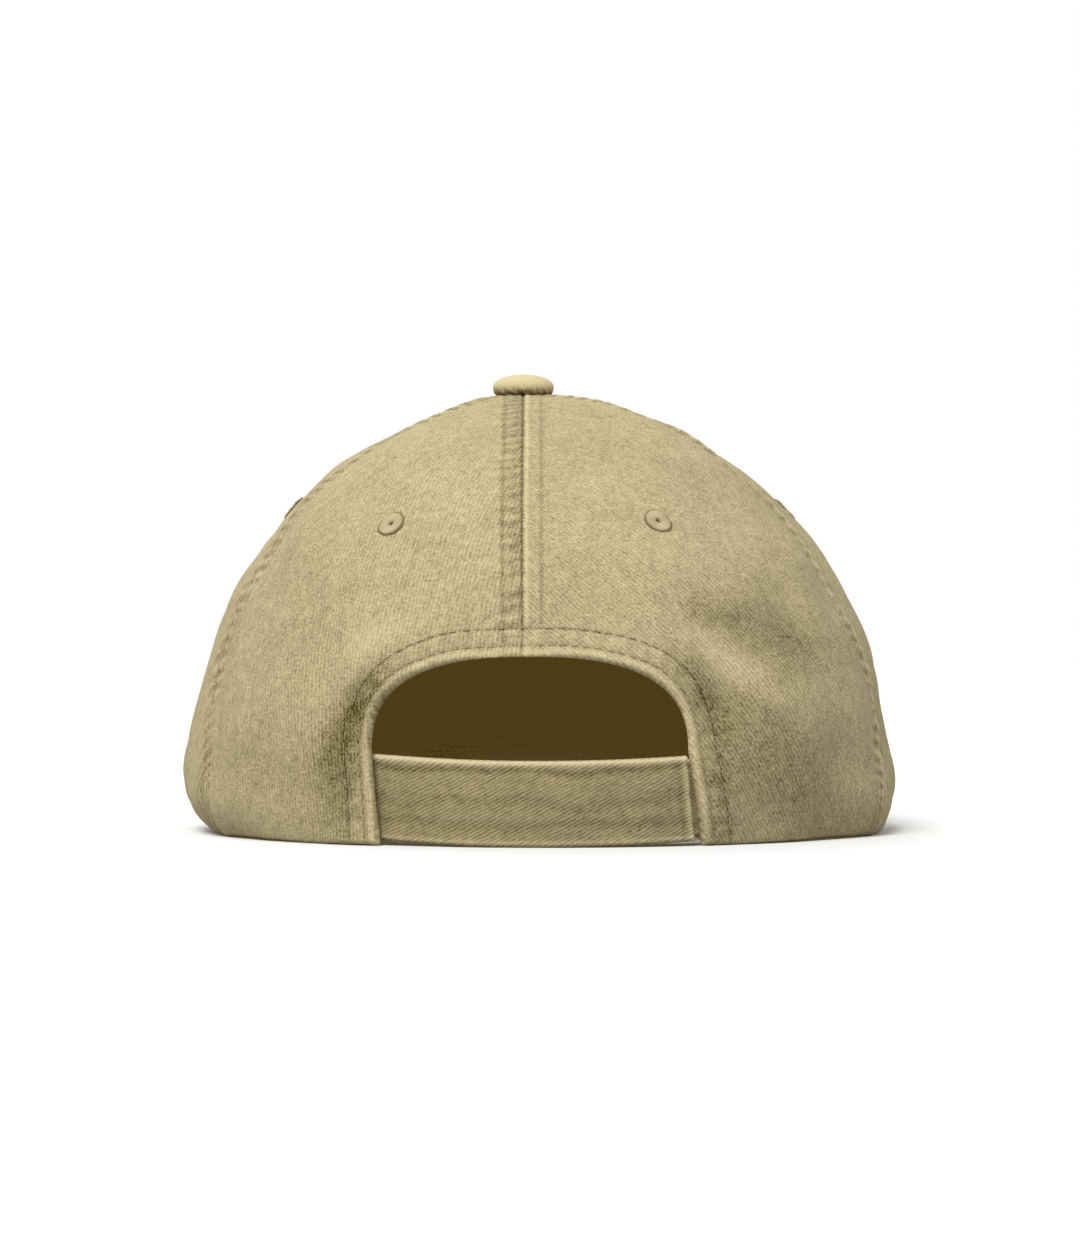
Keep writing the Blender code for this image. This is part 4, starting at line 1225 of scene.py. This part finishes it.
# painted shade: the peak's underside is dark, with a dark glow
under_peak_painted_shade_twill = twill_material("twill_under_peak_painted_shade", 40.0, INSIDE_PAINTED_GLOW, **INSIDE_PAINTED_SHADE)


def peak_outline():
    """Plan of the peak's free edge: a short curve out to the widest point, then a superellipse."""
    corner_x = HALF_WIDTH * math.sin(PEAK_CORNER)
    corner_y = HALF_LENGTH * math.cos(PEAK_CORNER)
    turn = np.linspace(0.0, math.pi / 2, 160)
    front_x = PEAK_HALF_WIDTH * np.cos(turn) ** (2 / PEAK_FULLNESS)
    reach = HALF_LENGTH + PEAK_REACH - PEAK_WIDEST
    front_y = -PEAK_WIDEST - reach * np.sin(turn) ** (2 / PEAK_FULLNESS)
    share = np.linspace(0.0, 1.0, 30)[:-1]
    side_x = corner_x + (PEAK_HALF_WIDTH - corner_x) * (2 * share - share**2)
    side_y = corner_y + (-PEAK_WIDEST - corner_y) * share
    half = np.column_stack((np.append(side_x, front_x), np.append(side_y, front_y)))
    return np.vstack((half, half[-2::-1] * (-1.0, 1.0)))


def peak_top(plan):
    """Points of the peak's top face over plan points."""
    z = PEAK_CREST - peak_fall(plan[..., 0], plan[..., 1])
    return np.stack((plan[..., 0], plan[..., 1] + CROWN_MIDDLE_Y, z), axis=-1)


def build_peak():
    """The peak as a patch from its rear edge to its free edge, with a relief of stitched channels."""
    columns = 221
    azimuths = np.linspace(PEAK_CORNER, 2 * math.pi - PEAK_CORNER, columns)
    signed = np.where(azimuths > math.pi, azimuths - 2 * math.pi, azimuths)
    out = band_offset(signed, 0.0) - PEAK_SEAM_DEPTH
    rear = np.column_stack(((HALF_WIDTH + out) * np.sin(signed), (HALF_LENGTH + out) * np.cos(signed)))
    free = peak_outline()
    travel = run_along(free)
    even = np.linspace(0.0, travel[-1], columns)
    front = np.column_stack([np.interp(even, travel, free[:, axis]) for axis in (0, 1)])
    share = spaced(((0.05, 10), (0.96, 125), (1.0, 14)))[:, None, None]
    plan = rear + (front - rear) * share
    face = peak_top(plan)
    normal = unit(np.cross(np.gradient(face, axis=0), np.gradient(face, axis=1)))
    normal *= np.sign(normal[..., 2:])
    distance, where = nearest(face, peak_top(free))
    distance[-1] = 0.0
    run = travel[where]
    lift = 0.6 * rumple(face)
    tone = np.zeros_like(lift)
    # painted shade in the stitched channels; the cloth is also paler along the free edge
    for row in PEAK_ROWS:
        channel = hill(distance, row, 0.0006)
        lift = lift - 0.00022 * channel
        tone = tone - 0.30 * channel
    between = (distance - PEAK_ROWS[0]) / (PEAK_ROWS[1] - PEAK_ROWS[0])
    puffs = 0.5 * (1.0 - np.cos(2 * math.pi * between))
    lift = lift + 0.00010 * puffs * (distance > PEAK_ROWS[0])
    tone = tone + 0.035 * puffs * np.sin(run * 900.0) + 0.22 * hill(distance, 0.0010, 0.0010)
    edge = rounded(distance, 0.0016)
    behind = np.linalg.norm(face - face[:1], axis=-1)
    face[..., 2] += PEAK_TURN_UP * (1.0 - ease(behind, 0.0, 0.0022))
    lift = lift * np.minimum(1.0, edge * 1.2) * ease(behind, 0.0020, 0.0060)
    finishes = (peak_twill, under_peak_painted_shade_twill)
    # the turned-up rear edge wears the underside's painted shade
    turned_up = (behind[:-1, :-1] + behind[1:, 1:]) / 2 < PEAK_SEAM_DEPTH + 0.0006
    mesh = cloth_wall(
        "peak_cloth", face, normal, PEAK_THICKNESS, edge, lift, plan, tone, finishes, inside_shade_cells=turned_up
    )
    add_piece("cloth_peak", mesh, ("peak",))


build_peak()


def peak_row_path(offset):
    """A line at a distance inside the peak's free edge, cut off where it goes under the crown."""
    free = peak_outline()
    forward = unit(np.gradient(free, axis=0))
    inward = np.column_stack((forward[:, 1], -forward[:, 0]))
    if inward[len(free) // 2, 1] < 0.0:
        inward = -inward
    plan = free + inward * offset
    clear = np.linalg.norm(plan[:, None] - free[None], axis=-1).min(axis=1) > offset * 0.98
    outside = np.hypot(plan[:, 0] / (HALF_WIDTH + 0.001), plan[:, 1] / (HALF_LENGTH + 0.001)) > 1.0
    plan = plan[clear & outside]
    points = peak_top(plan)
    step = 1e-4
    along_x = peak_top(plan + (step, 0.0)) - points
    along_y = peak_top(plan + (0.0, step)) - points
    normals = unit(np.cross(along_x, along_y))
    return points + normals * (0.6 * rumple(points)[:, None] - 0.0001), normals


top_rows, under_rows = [], []
for row_offset in PEAK_ROWS:
    row_points, row_normals = peak_row_path(row_offset)
    if len(row_points) > 10:
        top_rows.append(stitch_row(row_points, row_normals))
        under_rows.append(stitch_row(row_points - row_normals * (PEAK_THICKNESS - 0.0002), -row_normals))
add_stitches("stitches_peak_top", top_rows)
add_stitches("stitches_peak_under", under_rows)

# ---------------------------------------------------------------- top button
# A shell covered with a round of the same twill, gathered under its edge, stands where the
# six panels meet. Its post goes through the crown and is clinched over a disc inside.
BUTTON_DIAMETER = 0.0156
BUTTON_HEIGHT = 0.0058
BUTTON_WAIST = 0.42
BUTTON_PLEATS = 17
BUTTON_POST = np.array((   # radius and height, from the clinched disc's middle up the post
    (0.0, -0.0032),
    (0.0044, -0.0032),
    (0.0045, -0.0025),
    (0.0017, -0.0024),
    (0.0017, -0.0006),
))

# painted light: the button's cloth is made paler all over
button_twill = twill_material("twill_button", 25.0, Ribs=0.10, Clouds=0.20, Shade=0.28)


def add_button():
    """The covered head with its gathers, then the post and the clinched disc below it."""
    radius = BUTTON_DIAMETER / 2
    waist = BUTTON_WAIST * BUTTON_HEIGHT
    bottom = CROWN_HEIGHT + CLEARANCE
    foot = 0.76 * radius
    under = np.linspace(0.0, math.pi / 2, 12)
    over = np.linspace(0.0, math.pi / 2, 26)[1:]
    crest = (BUTTON_HEIGHT - waist) * np.sin(over) ** 0.95
    profile = np.vstack((  # radius and height: the disc and the post, then the head
        BUTTON_POST + (0.0, bottom),
        ((0.35 * radius, bottom - 0.0003), (0.60 * radius, bottom - 0.0002)),
        np.column_stack((foot + (radius - foot) * np.sin(under), bottom + waist * (1.0 - np.cos(under)))),
        np.column_stack((radius * np.maximum(np.cos(over), 0.0) ** 0.85, bottom + waist + crest)),
    ))
    around = np.linspace(0.0, 2 * math.pi, 181)
    reach, height = profile[:, :1], profile[:, 1:] * np.ones(around.shape)
    below = ease(-height, -bottom - waist * 1.15, -bottom - waist * 0.2)
    below = below * ease(reach, 0.5 * radius, 0.8 * radius)
    slant = 900.0 * (height - bottom) + 0.8 * np.sin(3 * around)
    pleats = np.abs(np.sin(BUTTON_PLEATS * around / 2 + slant))
    dents = 0.00010 * np.sin(2 * around + 1.0) + 0.00006 * np.sin(5 * around)
    reach = reach + below * (0.00030 * pleats - 0.00026) + dents * ease(reach, 0.5 * radius, radius)
    points = np.stack((reach * np.cos(around), reach * np.sin(around), height), axis=-1)
    run = run_along(profile)[:, None]
    weave = np.stack((points[..., 0] * 1.2, points[..., 1] * 1.2 + 0.3 * height), axis=-1)
    # painted shade in the gathers under the head and painted light on its top
    tone = below * (0.40 * pleats - 1.20) + 0.85 * ease(run, 0.5 * run.max(), run.max())
    points = points.reshape(-1, 3) + np.array((CROWN_LEAN, CROWN_MIDDLE_Y, 0.0))
    weave = weave.reshape(-1, 2)
    faces = grid_faces(len(profile), len(around))
    mesh = make_mesh("button", points, faces, (button_twill,), [0] * len(faces), weave, tone.ravel())
    add_piece("covered_button", mesh, ("top_button",))


add_button()
